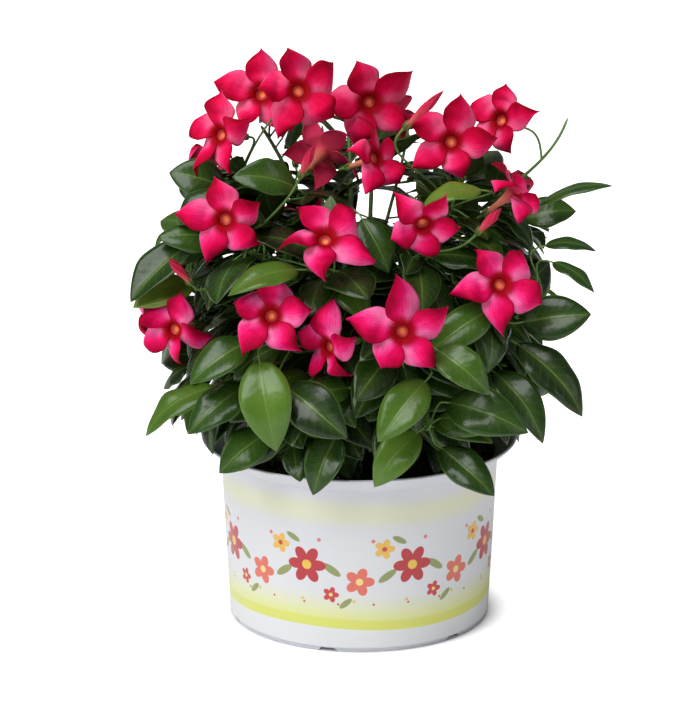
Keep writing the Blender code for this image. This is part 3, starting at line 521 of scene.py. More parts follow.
def bud_guard(bud):
    """Pointed bud on a narrow foot, a little thicker than it is."""
    points = [bud.foot + bud.axis * (bud.length * share) for share, _ in BUD_GUARD_SHAPE]
    return tube(points, [BUD_RADIUS * width + GUARD for _, width in BUD_GUARD_SHAPE], 5)


def round_extent(verts):
    """Centre and radius of a sphere that holds all the points."""
    centre = sum(verts, Vector()) / len(verts)
    return centre, max((vert - centre).length for vert in verts)


class Obstacles:
    """What is laid out so far, as solids that later pieces keep clear of."""

    def __init__(self, solids):
        self.items = []
        for solid in solids:
            self.add(solid)

    def add(self, solid):
        verts, faces = solid
        centre, size = round_extent(verts)
        self.items.append((centre, size, BVHTree.FromPolygons(verts, faces)))

    def hit(self, solid):
        """True if a solid crosses one of them."""
        verts, faces = solid
        centre, size = round_extent(verts)
        tree = None
        for other_centre, other_size, other_tree in self.items:
            if (other_centre - centre).length > size + other_size:
                continue
            tree = tree or BVHTree.FromPolygons(verts, faces)
            if tree.overlap(other_tree):
                return True
        return False


def tapered(radii, count):
    return [between(radii, n / (count - 1)) for n in range(count)]


def is_lead(shoot):
    """True for a leading shoot, which starts in the soil."""
    return shoot.points[0].z < SOIL_TOP


def lay_shoots():
    """Leading shoots from their roots to their tips, and side shoots that leave them."""
    shoots = []
    for stem, (root, tips) in enumerate(STEMS):
        start = metres((*root, SOIL_TOP / MM + ROOT_RISE))
        tip = metres(tips[0])
        length = (tip - start).length
        rise = (UP + Vector((start.x, start.y, 0)) * ROOT_LEAN).normalized()
        curve = (start, start + rise * length * LEAD_PULL[0],
                 tip - outward(tip) * length * LEAD_PULL[1], tip)
        lead = bezier(*curve, LEAD_POINTS)
        foot = Vector((start.x, start.y, SOIL_TOP - ROOT_DEPTH))
        shoots.append(Shoot(stem, curve, [foot] + lead, tapered(LEAD_RADII, LEAD_POINTS + 1)))
        for end, share in zip(map(metres, tips[1:]), SIDE_STARTS):
            place = share * (LEAD_POINTS - 1)
            below = lead[int(place)]
            above = lead[int(place) + 1]
            fork = below.lerp(above, place % 1)
            span = (end - fork).length
            start = ((above - below).normalized() + (end - fork).normalized()).normalized()
            finish = (outward(end) + UP * TIP_RISE).normalized()
            curve = (fork, fork + start * span * SIDE_PULL[0],
                     end - finish * span * SIDE_PULL[1], end)
            shoots.append(Shoot(stem, curve, bezier(*curve, SIDE_POINTS),
                                tapered(SIDE_RADII, SIDE_POINTS)))
    return shoots


def lay_bloom(place, turn, lift, span, spin, front, draw):
    axis = bearing(turn, lift)
    across = square_to(axis, UP)
    spin = -math.radians(spin)
    over = axis.cross(across)
    across, over = (across * math.cos(spin) + over * math.sin(spin),
                    over * math.cos(spin) - across * math.sin(spin))
    petals = []
    for _ in range(PETALS):
        twist = FOLDED_TWIST if draw.random() < FOLDED_SHARE else PETAL_TWIST
        petals.append(Petal(draw.uniform(*PETAL_LONG), draw.uniform(*PETAL_BROAD),
                            draw.uniform(*PETAL_CURL), draw.uniform(*twist),
                            draw.uniform(*PETAL_LEAN)))
    return Bloom(place, axis, across, over, span * MM / 2, petals, front)


def lay_blooms(obstacles, draw):
    """The blooms of the front at their places, and those of the rear spread by a rule."""
    blooms = []
    for place, turn, lift, span, spin in BLOOMS:
        blooms.append(lay_bloom(metres(place), turn, lift, span, spin, True, draw))
        obstacles.add(bloom_guard(blooms[-1]))
    number = 0
    while len(blooms) < len(BLOOMS) + REAR_BLOOMS:
        turn = between(REAR_TURNS, (number * REAR_STEPS[0] + REAR_STARTS[0]) % 1.0)
        lift = between(REAR_LIFTS, (number * REAR_STEPS[1] + REAR_STARTS[1]) % 1.0)
        number += 1
        direction = bearing(turn, lift)
        place = CROWN_CENTRE + Vector([direction[i] * CROWN_RADII[i] for i in range(3)])
        spin = draw.uniform(0, 72)
        span = draw.uniform(*REAR_SPANS)
        bloom = lay_bloom(place, turn, lift * REAR_LEVEL + REAR_RISE, span, spin, False, draw)
        if not obstacles.hit(bloom_guard(bloom)):
            obstacles.add(bloom_guard(bloom))
            blooms.append(bloom)
    return blooms


def stalk_feet(shoots):
    """Stem, place and direction of growth at points along the upper parts of all shoots."""
    feet = []
    for shoot in shoots:
        first = LEAD_POINTS // 2 if is_lead(shoot) else 1
        for a, b in zip(shoot.points[first:], shoot.points[first + 1:]):
            for share in STALK_SHARES:
                feet.append((shoot.stem, a.lerp(b, share), (b - a).normalized()))
    return feet


def stalk_to(end, axis, neck_length, end_radius, shoots, obstacles):
    """A curved stalk to an end, straight past its neck, from the nearest shoot with a clear way."""
    neck = end - axis * neck_length
    feet = stalk_feet(shoots)
    feet.sort(key=lambda foot: (foot[1] - end).length + ALONG_COST * abs(axis.dot(foot[2])))
    for stem, foot, course in feet[:STALK_TRIES]:
        span = (neck - foot).length
        if span < SHORTEST_STALK:
            continue
        away = ((neck - foot).normalized() + course * STALK_BULGE).normalized()
        curve = (foot, foot + away * span * STALK_BULGE, neck - axis * span * STALK_BULGE, neck)
        points = bezier(*curve, STALK_POINTS) + [end]
        body = [points[0].lerp(points[1], STALK_FREE)] + points[1:-1] + [end - axis * GUARD]
        radii = [STALK_RADIUS + GUARD] * (len(body) - 1) + [end_radius + CALYX_GUARD]
        guard = tube(body, radii, 4)
        if not obstacles.hit(guard):
            obstacles.add(guard)
            return Stalk(stem, curve, points)
    return None


def large_leaf_places(place, draw):
    """A large front leaf at its place, then at others along the line to the eye point."""
    foot, tip, width, face = place
    sag_share = draw.uniform(*LARGE_SAG)
    fold = draw.uniform(*LARGE_FOLD)
    away = (metres(foot) - EYE).normalized()
    for shift in LEAF_SHIFTS:
        base = metres(foot) + away * (shift * MM)
        end = metres(tip) + away * (shift * MM)
        along = (end - base).normalized()
        facing = UP * (1.1 - face) + Vector((0, -1, 0.35)) * face + outward(base) * 0.2
        normal = square_to(along, facing)
        length = (end - base).length
        start = (along + normal * 4 * sag_share).normalized()
        yield Leaf(None, None, (base - start * LEAF_STALK, base), along, normal, length,
                   width * MM, length * sag_share, fold)


def shoot_guard(shoot):
    return tube(shoot.points, [radius + GUARD for radius in shoot.radii], 6)


def leaf_guard(leaf):
    """Blade and the last of the stalk, thicker and wider than they are."""
    side = leaf.along.cross(leaf.normal)
    lift = leaf.normal * GUARD
    base = leaf.points[-1]
    near = base.lerp(leaf.points[-2], min(1, GUARDED_STALK / (base - leaf.points[-2]).length))
    edge = side * (LEAF_STALK_WIDTH / 2 + GUARD)
    rows = [[near - edge, near + edge]]
    for v in GUARD_ROWS:
        row = [leaf_point(leaf, u, v) for u in (-1, 0, 1)]
        rows.append([row[0] - side * GUARD, row[1], row[2] + side * GUARD])
    rows.append([leaf_point(leaf, 0, 1)])
    return slab([[point + lift for point in row] for row in rows],
                [[point - lift * UNDER_GUARD for point in row] for row in rows])


def leaf_samples(leaf):
    return [leaf_point(leaf, u, v) for u, v in
            ((0, 0), (-1, 0.3), (1, 0.3), (0, 0.5), (-1, 0.7), (1, 0.7), (0, 1))]


def hides_bloom(point, blooms):
    """True for a point in front of a bloom's face, or between the eye point and a front bloom."""
    for bloom in blooms:
        offset = point - bloom.throat
        ahead = offset.dot(bloom.axis)
        aside = (offset - bloom.axis * ahead).length
        if FACE_DEPTH[0] < ahead < FACE_DEPTH[1] and aside < bloom.radius * FACE_SHARE:
            return True
        if bloom.front and (point - EYE).length < (bloom.throat - EYE).length:
            x, z = front_view(point)
            a, b = front_view(bloom.throat)
            if math.hypot(x - a, z - b) < bloom.radius * VIEW_SHARE:
                return True
    return False


def hides_leaf(point, large):
    """True for a point between the eye point and the middle of a large leaf."""
    for leaf in large:
        middle = leaf_point(leaf, 0, 0.5)
        if (point - EYE).length < (middle - EYE).length:
            x, z = front_view(point)
            a, b = front_view(middle)
            if math.hypot(x - a, z - b) < leaf.length * LEAF_VIEW_SHARE:
                return True
    return False


def lay_large_leaves(shoots, obstacles, draw):
    """The large leaves of the front, each on a long stalk from the nearest shoot with a clear way."""
    leaves = []
    for place in LARGE_LEAVES:
        for leaf in large_leaf_places(place, draw):
            guard = leaf_guard(leaf)
            if obstacles.hit(guard) or not all(clear_of_pot(point) for point in leaf_samples(leaf)):
                continue
            before, base = leaf.points
            course = (base - before).normalized()
            stalk = stalk_to(base, course, LEAF_STALK / 2, STALK_RADIUS, shoots, obstacles)
            if stalk:
                obstacles.add(guard)
                leaves.append(leaf._replace(stem=stalk.stem, curve=stalk.curve, points=stalk.points))
                break
    return leaves


def feet_back(shoot, left, spacing, pair):
    """Feet of leaf pairs from a shoot's tip back: stem, place, direction of growth and number."""
    feet = []
    for a, b in zip(reversed(shoot.points[:-1]), reversed(shoot.points[1:])):
        length = (b - a).length
        while left < length:
            feet.append((shoot.stem, b.lerp(a, left / length), (b - a).normalized(), pair))
            pair += 1
            left += spacing
        left -= length
    return feet


def leaf_sites(shoots, draw):
    """Feet of leaf pairs along the shoots, the outermost first."""
    sites = [site for shoot in shoots for site in feet_back(shoot, FIRST_SPACING, LEAF_SPACING, 0)
             if reach(site[1]) > INNERMOST_SITE and site[1].z > LOWEST_SITE]
    sites.sort(key=lambda site: draw.uniform(0, SITE_MIX) - reach(site[1]))
    return sites


def try_leaf(site, half, trial, size, draw):
    """A leaf at a site, turned and drooped by the number of the trial."""
    stem, foot, course, pair = site
    across = square_to(course, SITE_ACROSS)
    over = course.cross(across)
    offset = LEAF_TURNS[trial % len(LEAF_TURNS)]
    angle = math.radians(90 * pair + 180 * half + STEM_TURN * stem + offset)
    side = turned(across, over, angle)
    out = outward(foot)
    droop = draw.uniform(*LEAF_DROOP)
    length = draw.uniform(*LEAF_LENGTH) * size
    slim = draw.uniform(*LEAF_SLIM)
    sag = length * draw.uniform(*LEAF_SAG)
    fold = draw.uniform(*LEAF_FOLD)
    along = (side * 0.9 + out * 0.65 + course * 0.25 - UP * droop).normalized()
    if along.dot(out) < MOST_INWARD:
        return None
    face = out * 0.75 + UP * 0.8
    if (face - along * face.dot(along)).length < LEAST_FACE:
        return None
    normal = square_to(along, face)
    start = (side * 0.8 + along * 0.5 + normal * 0.3).normalized()
    base = foot + start * LEAF_STALK
    curve = (foot, foot.lerp(base, 0.33), foot.lerp(base, 0.67), base)
    return Leaf(stem, curve, (foot, base), along, normal, length, length * slim, sag, fold)


def leaf_fits(leaf, blooms, large, obstacles):
    samples = leaf_samples(leaf)
    for point in samples:
        if not (clear_of_pot(point) and in_outline(point) and reach(point) < CROWN_REACH):
            return False
        if in_gap(point):
            return False
    if any(hides_bloom(point, blooms) or hides_leaf(point, large) for point in samples):
        return False
    return not obstacles.hit(leaf_guard(leaf))


def place_leaves(sites, sizes, blooms, large, obstacles, draw):
    """Two leaves at each site, each in the first position that is clear."""
    leaves = []
    for half in (0, 1):
        for site in sites:
            for trial in range(len(LEAF_TURNS) * len(sizes)):
                leaf = try_leaf(site, half, trial, sizes[trial // len(LEAF_TURNS)], draw)
                if leaf and leaf_fits(leaf, blooms, large, obstacles):
                    obstacles.add(leaf_guard(leaf))
                    leaves.append(leaf)
                    break
    return leaves


def lay_plant():
    """All records of the plant, in the order in which they take their places."""
    draw = random.Random(SEED)
    shoots = lay_shoots()
    obstacles = Obstacles([shoot_guard(shoot) for shoot in shoots])
    blooms = lay_blooms(obstacles, draw)
    buds = []
    for foot, tip in BUDS:
        span = metres(tip) - metres(foot)
        buds.append(Bud(metres(foot), span.normalized(), span.length))
        obstacles.add(bud_guard(buds[-1]))
    ends = [(bloom.throat - bloom.axis * (TUBE_LENGTH + CLEAR), bloom.axis) for bloom in blooms]
    ends += [(bud.foot - bud.axis * CLEAR, bud.axis) for bud in buds]
    stalks = [stalk_to(end, axis, CALYX_LENGTH, CALYX_RADIUS, shoots, obstacles)
              for end, axis in ends]
    large = lay_large_leaves(shoots, obstacles, draw)
    fill = place_leaves(leaf_sites(shoots, draw), LEAF_SIZES, blooms, large, obstacles, draw)
    return shoots, blooms, buds, stalks, large, fill


def pot_profile():
    """Radius and height of the pot's section, from the floor over the lip to the underside."""
    lip = POT_LIP_RADIUS
    bore = WALL_TOP_RADIUS - POT_WALL
    return (
        (0, FLOOR), (WALL_FOOT_RADIUS - POT_WALL - 0.002, FLOOR),
        (WALL_FOOT_RADIUS - POT_WALL, FLOOR + 0.002), (bore, WALL_TOP + 0.001),
        (bore + 0.0095, POT_HEIGHT - 0.0080), (lip - 0.0030, POT_HEIGHT - 0.0005),
        (lip - 0.0012, POT_HEIGHT), (lip, POT_HEIGHT - 0.0016),
        (WALL_TOP_RADIUS + 0.0080, POT_HEIGHT - 0.0110), (WALL_TOP_RADIUS, WALL_TOP),
        (WALL_FOOT_RADIUS, FOOT_STEP + 0.001), (FOOT_RADIUS, FOOT_STEP), (FOOT_RADIUS, 0),
        (FOOT_RADIUS - FOOT_RING_WIDTH, 0), (FOOT_RADIUS - FOOT_RING_WIDTH - 0.002, RECESS),
        (PAD_RADIUS + 0.004, RECESS), (PAD_RADIUS, 0), (0, 0),
    )


def soil_height(radius, angle):
    wave = math.sin(3 * angle + 1.0) * 0.6 + math.sin(5 * angle) * 0.4
    return SOIL_TOP + SOIL_SWELL * wave * radius / WALL_TOP_RADIUS


def bore_radius(height):
    """Inner radius of the pot's wall at a height."""
    low = FLOOR + 0.002
    share = (height - low) / (WALL_TOP + 0.001 - low)
    return WALL_FOOT_RADIUS - POT_WALL + share * (WALL_TOP_RADIUS - WALL_FOOT_RADIUS)


# Material numbers of the foliage
UPPER, UNDER, BARK = range(3)


def closed(row):
    return row + row[:1]


class Build:
    """A piece under construction: faces, and vertices with a place on their leaf and a tint."""

    def __init__(self):
        self.verts = []
        self.places = []
        self.tints = []
        self.faces = []
        self.looks = []

    def point(self, place, u=0.5, v=0.5, tint=0.5):
        self.verts.append(place)
        self.places.append((u, v))
        self.tints.append(tint)
        return len(self.verts) - 1

    def face(self, corners, look=0):
        self.faces.append(tuple(corners))
        self.looks.append(look)

    def band(self, first, second, look=0):
        """Quads between two rows of equally many vertices."""
        for k in range(len(first) - 1):
            self.face((first[k], second[k], second[k + 1], first[k + 1]), look)

    def skin(self, rows, look=0):
        """Faces between closed rows of vertices, and over the first and last row."""
        for first, second in zip(rows, rows[1:]):
            for k in range(len(first) - 1):
                self.face((first[k], first[k + 1], second[k + 1], second[k]), look)
        self.face(reversed(rows[0][:-1]), look)
        self.face(rows[-1][:-1], look)

    def tube(self, points, radii, sides, tints):
        """Closed round bar of bark along a path."""
        rows = []
        for n, ring in enumerate(tube_rings(points, radii, sides)):
            share = n / (len(points) - 1)
            rows.append(closed([self.point(place, abs(2 * k / sides - 1), share,
                                           between(tints, share)) for k, place in enumerate(ring)]))
        self.skin(rows, BARK)

    def finish(self, name, slot, nodes, materials):
        mesh = bpy.data.meshes.new(name)
        mesh.from_pydata(self.verts, [], self.faces)
        mesh.polygons.foreach_set("material_index", self.looks)
        mesh.polygons.foreach_set("use_smooth", [True] * len(self.faces))
        layer = mesh.uv_layers.new(name="place")
        corners = [0] * len(mesh.loops)
        mesh.loops.foreach_get("vertex_index", corners)
        layer.data.foreach_set("uv", [x for index in corners for x in self.places[index]])
        mesh.attributes.new("tint", "FLOAT", "POINT").data.foreach_set("value", self.tints)
        for made in materials:
            mesh.materials.append(made)
        piece = put_in_scene(name, mesh)
        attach(piece, "root")
        if nodes:
            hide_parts(*nodes)
        return piece


def put_in_scene(name, data, place=(0, 0, 0), course=None):
    """An object of the scene; a light or camera also looks along a course."""
    made = bpy.data.objects.new(name, data)
    made.location = place
    if course:
        made.rotation_euler = course.to_track_quat("-Z", "Y").to_euler()
    bpy.context.scene.collection.objects.link(made)
    return made


class Value:
    """A node's output, in sums with numbers and other outputs."""

    def __init__(self, shading, socket):
        self.shading = shading
        self.socket = socket

    def __add__(self, other):
        return self.shading.math("ADD", self, other)

    def __sub__(self, other):
        return self.shading.math("SUBTRACT", self, other)

    def __mul__(self, other):
        return self.shading.math("MULTIPLY", self, other)

    def __truediv__(self, other):
        return self.shading.math("DIVIDE", self, other)


class Shading:
    """A material with a Principled shader, and short ways to build its nodes."""

    def __init__(self, name, **sockets):
        self.material = bpy.data.materials.new(name)
        self.material.use_nodes = True
        self.tree = self.material.node_tree
        self.shader = self.tree.nodes["Principled BSDF"]
        self.set(**sockets)

    def set(self, **sockets):
        """Numbers or outputs for the shader, and the material itself."""
        for key, value in sockets.items():
            self.put(self.shader.inputs[key.replace("_", " ")], value)
        return self.material

    def put(self, target, value):
        if isinstance(value, Value):
            self.tree.links.new(value.socket, target)
        elif isinstance(value, tuple) and len(value) == 3 and target.type == "RGBA":
            target.default_value = (*value, 1)
        else:
            target.default_value = value

    def node(self, kind, entries, *outputs, **settings):
        """The named outputs of a new node, or its first one."""
        node = self.tree.nodes.new("ShaderNode" + kind)
        for key, value in settings.items():
            setattr(node, key, value)
        for key, value in dict(entries).items():
            self.put(node.inputs[key], value)
        found = [Value(self, node.outputs[key]) for key in outputs or (0,)]
        return found if len(found) > 1 else found[0]

    def math(self, operation, *values):
        return self.node("Math", enumerate(values), operation=operation)

    def tint(self):
        return self.node("Attribute", {}, "Fac", attribute_name="tint")

    def place(self):
        """The two parts of the place map: across, and along."""
        return self.node("SeparateXYZ", {0: self.node("UVMap", {}, uv_map="place")}, "X", "Y")

    def position(self):
        return self.node("TexCoord", {}, "Object")

    def parts(self):
        return self.node("SeparateXYZ", {0: self.position()}, "X", "Y", "Z")

    def noise(self, scale, detail=2.0, vector=None):
        return self.node("TexNoise", {"Vector": vector or self.position(), "Scale": scale,
                                      "Detail": detail}, "Fac")

    def streaks(self, across, along, tint):
        """Fine lines along a petal."""
        return self.noise(1.0, 3.0, self.node("CombineXYZ", {0: across, 1: along * 3.0, 2: tint}))

    def smooth(self, value, low, high):
        """0 below low, 1 above high, and a soft step between; low may be the greater."""
        return self.node("MapRange", enumerate((value, low, high, 0.0, 1.0)),
                         interpolation_type="SMOOTHSTEP")

    def mix(self, share, first, second):
        return self.node("Mix", {"Factor": share, 6: first, 7: second}, 2, data_type="RGBA")

    def ramp(self, value, *stops):
        node = self.tree.nodes.new("ShaderNodeValToRGB")
        self.put(node.inputs[0], value)
        elements = node.color_ramp.elements
        while len(elements) < len(stops):
            elements.new(0.5)
        for element, (place, colour) in zip(elements, stops):
            element.position = place
            element.color = (*colour, 1)
        return Value(self, node.outputs[0])

    def finish(self, colour, grain, low, high, height, strength, distance=0.0008):
        """The material, with a roughness that a grain spreads from low to high, and a relief."""
        relief = self.node("Bump", {"Strength": strength, "Distance": distance, "Height": height})
        return self.set(Base_Color=colour, Roughness=grain * (high - low) + low, Normal=relief)


# Leaves and stems

LEAF_DARK = (0.005, 0.016, 0.002)
LEAF_MIDDLE = (0.020, 0.062, 0.006)
LEAF_BRIGHT = (0.088, 0.185, 0.016)
LEAF_YELLOW = (0.200, 0.270, 0.030)
LEAF_VEIN = (0.150, 0.260, 0.050)
LEAF_PALE = (0.095, 0.160, 0.040)
LEAF_UNDER = (0.022, 0.052, 0.010)
VEINS = 9.0
VEIN_SLOPE = 1.7


def leaf_veins(shading):
    """Distance from the midrib, masks of the midrib and the side veins, and the veins' relief."""
    across, along = shading.place()
    aside = shading.math("ABSOLUTE", across * 2.0 - 1.0)
    midrib = shading.smooth(aside, along * -0.055 + 0.095, 0.02)
    order = along * VEINS - aside * VEIN_SLOPE + shading.noise(60.0) * 0.5
    saw = shading.math("PINGPONG", order, 0.5)
    veins = shading.smooth(saw, 0.10, 0.01) * shading.smooth(aside, 0.95, 0.55)
    return aside, midrib, veins, saw


def leaf_face():
    shading = Shading("leaf_face", Coat_Weight=0.10, Coat_Roughness=0.18, Specular_IOR_Level=0.38)
    aside, midrib, veins, saw = leaf_veins(shading)
    green = shading.ramp(shading.tint() + shading.noise(38.0, 3.0) * 0.30 - 0.15,
                         (0.0, LEAF_DARK), (0.45, LEAF_MIDDLE), (0.80, LEAF_BRIGHT),
                         (1.0, LEAF_YELLOW))
    # Painted highlight: a paler band along the midrib
    middle = shading.smooth(aside, 0.60, 0.05)
    # Painted highlight: pale margins
    edge = shading.smooth(aside, 0.90, 1.0)
    for mask in (middle * 0.16, edge * 0.45, veins * 0.12, midrib * 0.60):
        green = shading.mix(mask, green, LEAF_VEIN)
    grain = shading.noise(900.0)
    height = saw * 0.6 - midrib * 0.8 + grain * 0.10 + shading.noise(120.0) * 1.6
    return shading.finish(green, grain, 0.20, 0.36, height, 0.30)


def leaf_back():
    shading = Shading("leaf_back", Specular_IOR_Level=0.30)
    _, midrib, veins, saw = leaf_veins(shading)
    mottle = shading.noise(45.0, 3.0)
    green = shading.ramp(shading.tint() * 0.6 + mottle, (0.2, LEAF_UNDER), (1.0, LEAF_PALE))
    green = shading.mix(veins * 0.40, green, LEAF_PALE)
    green = shading.mix(midrib * 0.80, green, LEAF_VEIN)
    return shading.finish(green, mottle, 0.45, 0.65, saw * -1.0, 0.35)


def stem_bark():
    """Green young stems that turn brown and rough with age, as the tint falls."""
    shading = Shading("stem_bark")
    streaks = shading.noise(160.0, 4.0)
    colour = shading.ramp(shading.tint() + streaks * 0.4 - 0.2, (0.0, (0.070, 0.038, 0.018)),
                          (0.40, (0.085, 0.090, 0.025)), (0.75, (0.090, 0.200, 0.035)),
                          (1.0, (0.210, 0.360, 0.090)))
    return shading.finish(colour, streaks, 0.40, 0.60, streaks, 0.5, 0.0006)


SHEET = 0.0005
MARGIN_PHASE = 1.3
KEEL_ROUNDING = 0.0000016
# Limits of each leaf's own shape: phase, waves and swing of its margins, curl, droop and twist
LEAF_SHAPE = ((0, 2 * math.pi), (1.5, 2.6), (0.008, 0.030), (0.05, 0.45), (-0.03, 0.18),
              (-0.35, 0.35))
BLADE_START = 0.004
BLADE_SHARE = 0.994
FINE_LEAF = (8, 14)
FINE_LARGE_LEAF = (10, 18)
LEAF_STALK_RADII = (0.0011,) + (0.0009,) * 7 + (0.0007,)
LEAD_STEPS = 44
SIDE_STEPS = 26
TIP_LENGTH = 0.004
SEPALS = 5
SEPAL_RADII = (0.0012, 0.0010, 0.0002)


def fine_leaf_point(leaf, u, v, shape):
    """Point of a fine leaf's upper face: rolled margins, waved sides and a drawn-out tip."""
    phase, waves, swing, curl, droop, twist = shape
    narrow = 1 - 0.30 * v ** 12
    point = leaf_point(leaf, u * narrow, v)
    half = leaf.width / 2 * leaf_outline(min(v, 0.999)) * narrow
    soft = leaf.fold * (math.sqrt((u * half) ** 2 + KEEL_ROUNDING) - abs(u * half))
    side_phase = phase + (MARGIN_PHASE if u > 0 else 0.0)
    wave = swing * math.sin(2 * math.pi * waves * v + side_phase) * u * u * math.sin(math.pi * v)
    height = soft + wave * leaf.length - curl * abs(u) ** 3 * half - droop * leaf.length * v ** 4
    height += twist * u * half * v
    return point + leaf.normal * height


def add_leaf(build, leaf, tint, draw, steps=FINE_LEAF):
    across, along = steps
    shape = [draw.uniform(*limits) for limits in LEAF_SHAPE]
    drop = leaf.normal * SHEET
    sides = []
    for under in (0, 1):
        rows = []
        for j in range(along + 1):
            v = BLADE_START + BLADE_SHARE * (j / along)
            rows.append([])
            for i in range(across + 1):
                u = 2 * i / across - 1
                place = fine_leaf_point(leaf, u, v, shape) - drop * under
                rows[-1].append(build.point(place, (u + 1) / 2, v, tint))
        for pair in zip(rows, rows[1:]):
            build.band(*(reversed(pair) if under else pair), UNDER if under else UPPER)
        sides.append(rows)
    upper, under = sides
    outline = [row[0] for row in upper] + upper[-1][1:]
    outline += [row[-1] for row in reversed(upper[:-1])] + list(reversed(upper[0][1:-1]))
    shift = under[0][0] - upper[0][0]
    for a, b in zip(outline, outline[1:] + outline[:1]):
        build.face((b, a, a + shift, b + shift), UNDER)
    end = fine_leaf_point(leaf, 0, 0.05, shape) - drop
    build.tube(bezier(*leaf.curve, 8) + [end], LEAF_STALK_RADII, 6, (0.72, 0.95))


def add_shoot(build, shoot):
    lead = is_lead(shoot)
    points = bezier(*shoot.curve, LEAD_STEPS if lead else SIDE_STEPS)
    if lead:
        points = [shoot.points[0]] + points
    radii = tapered(LEAD_RADII if lead else SIDE_RADII, len(points))
    radii = [radius * (1 + 0.10 * math.sin(n * 2.1) ** 6) for n, radius in enumerate(radii)]
    points.append(points[-1] + (points[-1] - points[-2]).normalized() * TIP_LENGTH)
    radii.append(radii[-1] * 0.4)
    build.tube(points, radii, 9, (0.05, 0.80) if lead else (0.45, 0.85))


def add_stalk(build, stalk, axis, draw):
    """Flower stalk, with small pointed sepals that hold the foot of the tube or bud."""
    end = stalk.points[-1]
    points = bezier(*stalk.curve, 14) + [end - axis * 0.002, end]
    radii = [STALK_RADIUS] * 14 + [STALK_RADIUS * 1.5, CALYX_RADIUS * 0.85]
    build.tube(points, radii, 7, (0.70, 0.90))
    across = square_to(axis, Vector((0.2, 0.1, 1)))
    over = axis.cross(across)
    turn = draw.uniform(0, 1)
    for k in range(SEPALS):
        out = turned(across, over, 2 * math.pi * (k + turn) / SEPALS)
        foot = end - axis * 0.0015 + out * CALYX_RADIUS * 0.7
        middle = end + axis * 0.0025 + out * (CALYX_RADIUS * 1.05)
        tip = end + axis * draw.uniform(0.005, 0.007) + out * (CALYX_RADIUS * 1.15)
        build.tube([foot, middle, tip], SEPAL_RADII, 5, (0.80, 0.70))


# Tints of the large leaves in their order, from dark (0) to bright (1)
LARGE_TINTS = (
    0.50, 0.35, 0.40, 0.25, 0.12, 0.25, 0.40, 0.30, 0.78, 0.68, 0.76, 0.10, 0.66, 0.45, 0.25,
    0.95, 0.50, 0.45, 0.50, 0.86, 0.55, 0.58, 0.40, 0.50, 0.70, 0.45, 0.35, 0.40, 0.50, 0.50,
)
INNER_SEED = 5
INNER_SPACING = 0.011
INNER_LOWEST = 0.195
INNER_SIZES = (0.95, 0.75, 0.58)
LOOKS_SEED = 23
# Young leaves: their share on the crown's surface, their greatest length and their tints
YOUNG_SHARE = 0.10
YOUNG_LENGTH = 0.068
YOUNG_TINTS = (0.60, 0.90)


def lay_inner_leaves(shoots, blooms, large, fill, draw):
    """Small leaves that close the crown's depth, between the pairs of the solids and further in."""
    obstacles = Obstacles([shoot_guard(shoot) for shoot in shoots]
                          + [bloom_guard(bloom) for bloom in blooms]
                          + [leaf_guard(leaf) for leaf in large + fill])
    sites = [site for shoot in shoots for site in
             feet_back(shoot, INNER_SPACING * draw.uniform(0.3, 1.0), INNER_SPACING,
                       draw.randrange(4)) if site[1].z > INNER_LOWEST]
    return place_leaves(sites, INNER_SIZES, blooms, large, obstacles, draw)


def stem_pieces(shoots, blooms, buds, stalks, large, fill, materials):
    draw = random.Random(LOOKS_SEED)
    inner = lay_inner_leaves(shoots, blooms, large, fill, random.Random(INNER_SEED))
    builds = [Build() for _ in STEMS]
    for shoot in shoots:
        add_shoot(builds[shoot.stem], shoot)
    for stalk, held in zip(stalks, blooms + buds):
        add_stalk(builds[stalk.stem], stalk, held.axis, draw)
    for leaf, tint in zip(large, LARGE_TINTS):
        add_leaf(builds[leaf.stem], leaf, tint, draw, FINE_LARGE_LEAF)
    for leaf in fill + inner:
        # Painted shade: leaves deeper in the crown get darker tints, leaves further out brighter ones
        high = min(1, max(0, (reach(leaf_point(leaf, 0, 0.5)) - 0.5) * 2))
        tint = min(0.95, max(0.02, draw.gauss(0.14 + 0.20 * high, 0.20)))
        if draw.random() < YOUNG_SHARE * high and leaf.length < YOUNG_LENGTH:
            tint = draw.uniform(*YOUNG_TINTS)
        add_leaf(builds[leaf.stem], leaf, tint, draw)
    for stem, build in enumerate(builds, 1):
        build.finish(f"foliage_{stem:02d}", "leaf_green", [f"leafy_stem_{stem:02d}"], materials)


# Blooms and buds

def petal_face():
    """Inner face of the corolla: dark red throat, and petals with a painted lit side and shaded side.
    """
    shading = Shading("petal_face", Specular_IOR_Level=0.04)
    across, along = shading.place()
    soft = shading.noise(55.0, 3.0)
    streaks = shading.streaks(across * 26.0, along, shading.tint())
    # Painted light and shade: each petal pale pink on one side, deep crimson on the other
    side = across + soft * 0.7 + streaks * 0.4 + along * 0.9 - 1.21
    petal = shading.ramp(side, (0.00, (0.980, 0.190, 0.440)), (0.26, (0.960, 0.046, 0.260)),
                         (0.46, (0.840, 0.006, 0.125)), (0.70, (0.600, 0.002, 0.062)),
                         (0.95, (0.340, 0.001, 0.028)))
    # Painted shade: the petal tips darken to near-black
    rim = shading.smooth(along + soft * 0.2 - 0.1, 0.90, 1.02)
    petal = shading.mix(rim * 0.6, petal, (0.150, 0.001, 0.012))
    # Painted light: blooms higher in the crown, where more light falls, turn redder
    high = shading.smooth(shading.parts()[2], 0.34, 0.49)
    sunlit_petal = shading.ramp(side, (0.00, (0.980, 0.110, 0.240)), (0.30, (0.930, 0.020, 0.110)),
                          (0.60, (0.740, 0.002, 0.050)), (0.95, (0.400, 0.001, 0.016)))
    petal = shading.mix(high * 0.75, petal, sunlit_petal)
    edge = along + streaks * 0.08 - 0.04
    throat = shading.ramp(edge, (0.34, (0.400, 0.006, 0.006)), (0.42, (0.360, 0.001, 0.009)),
                          (0.50, (0.520, 0.001, 0.030)))
    colour = shading.mix(shading.smooth(edge, 0.41, 0.51), throat, petal)
    return shading.finish(colour, soft, 0.42, 0.60, streaks, 0.35)


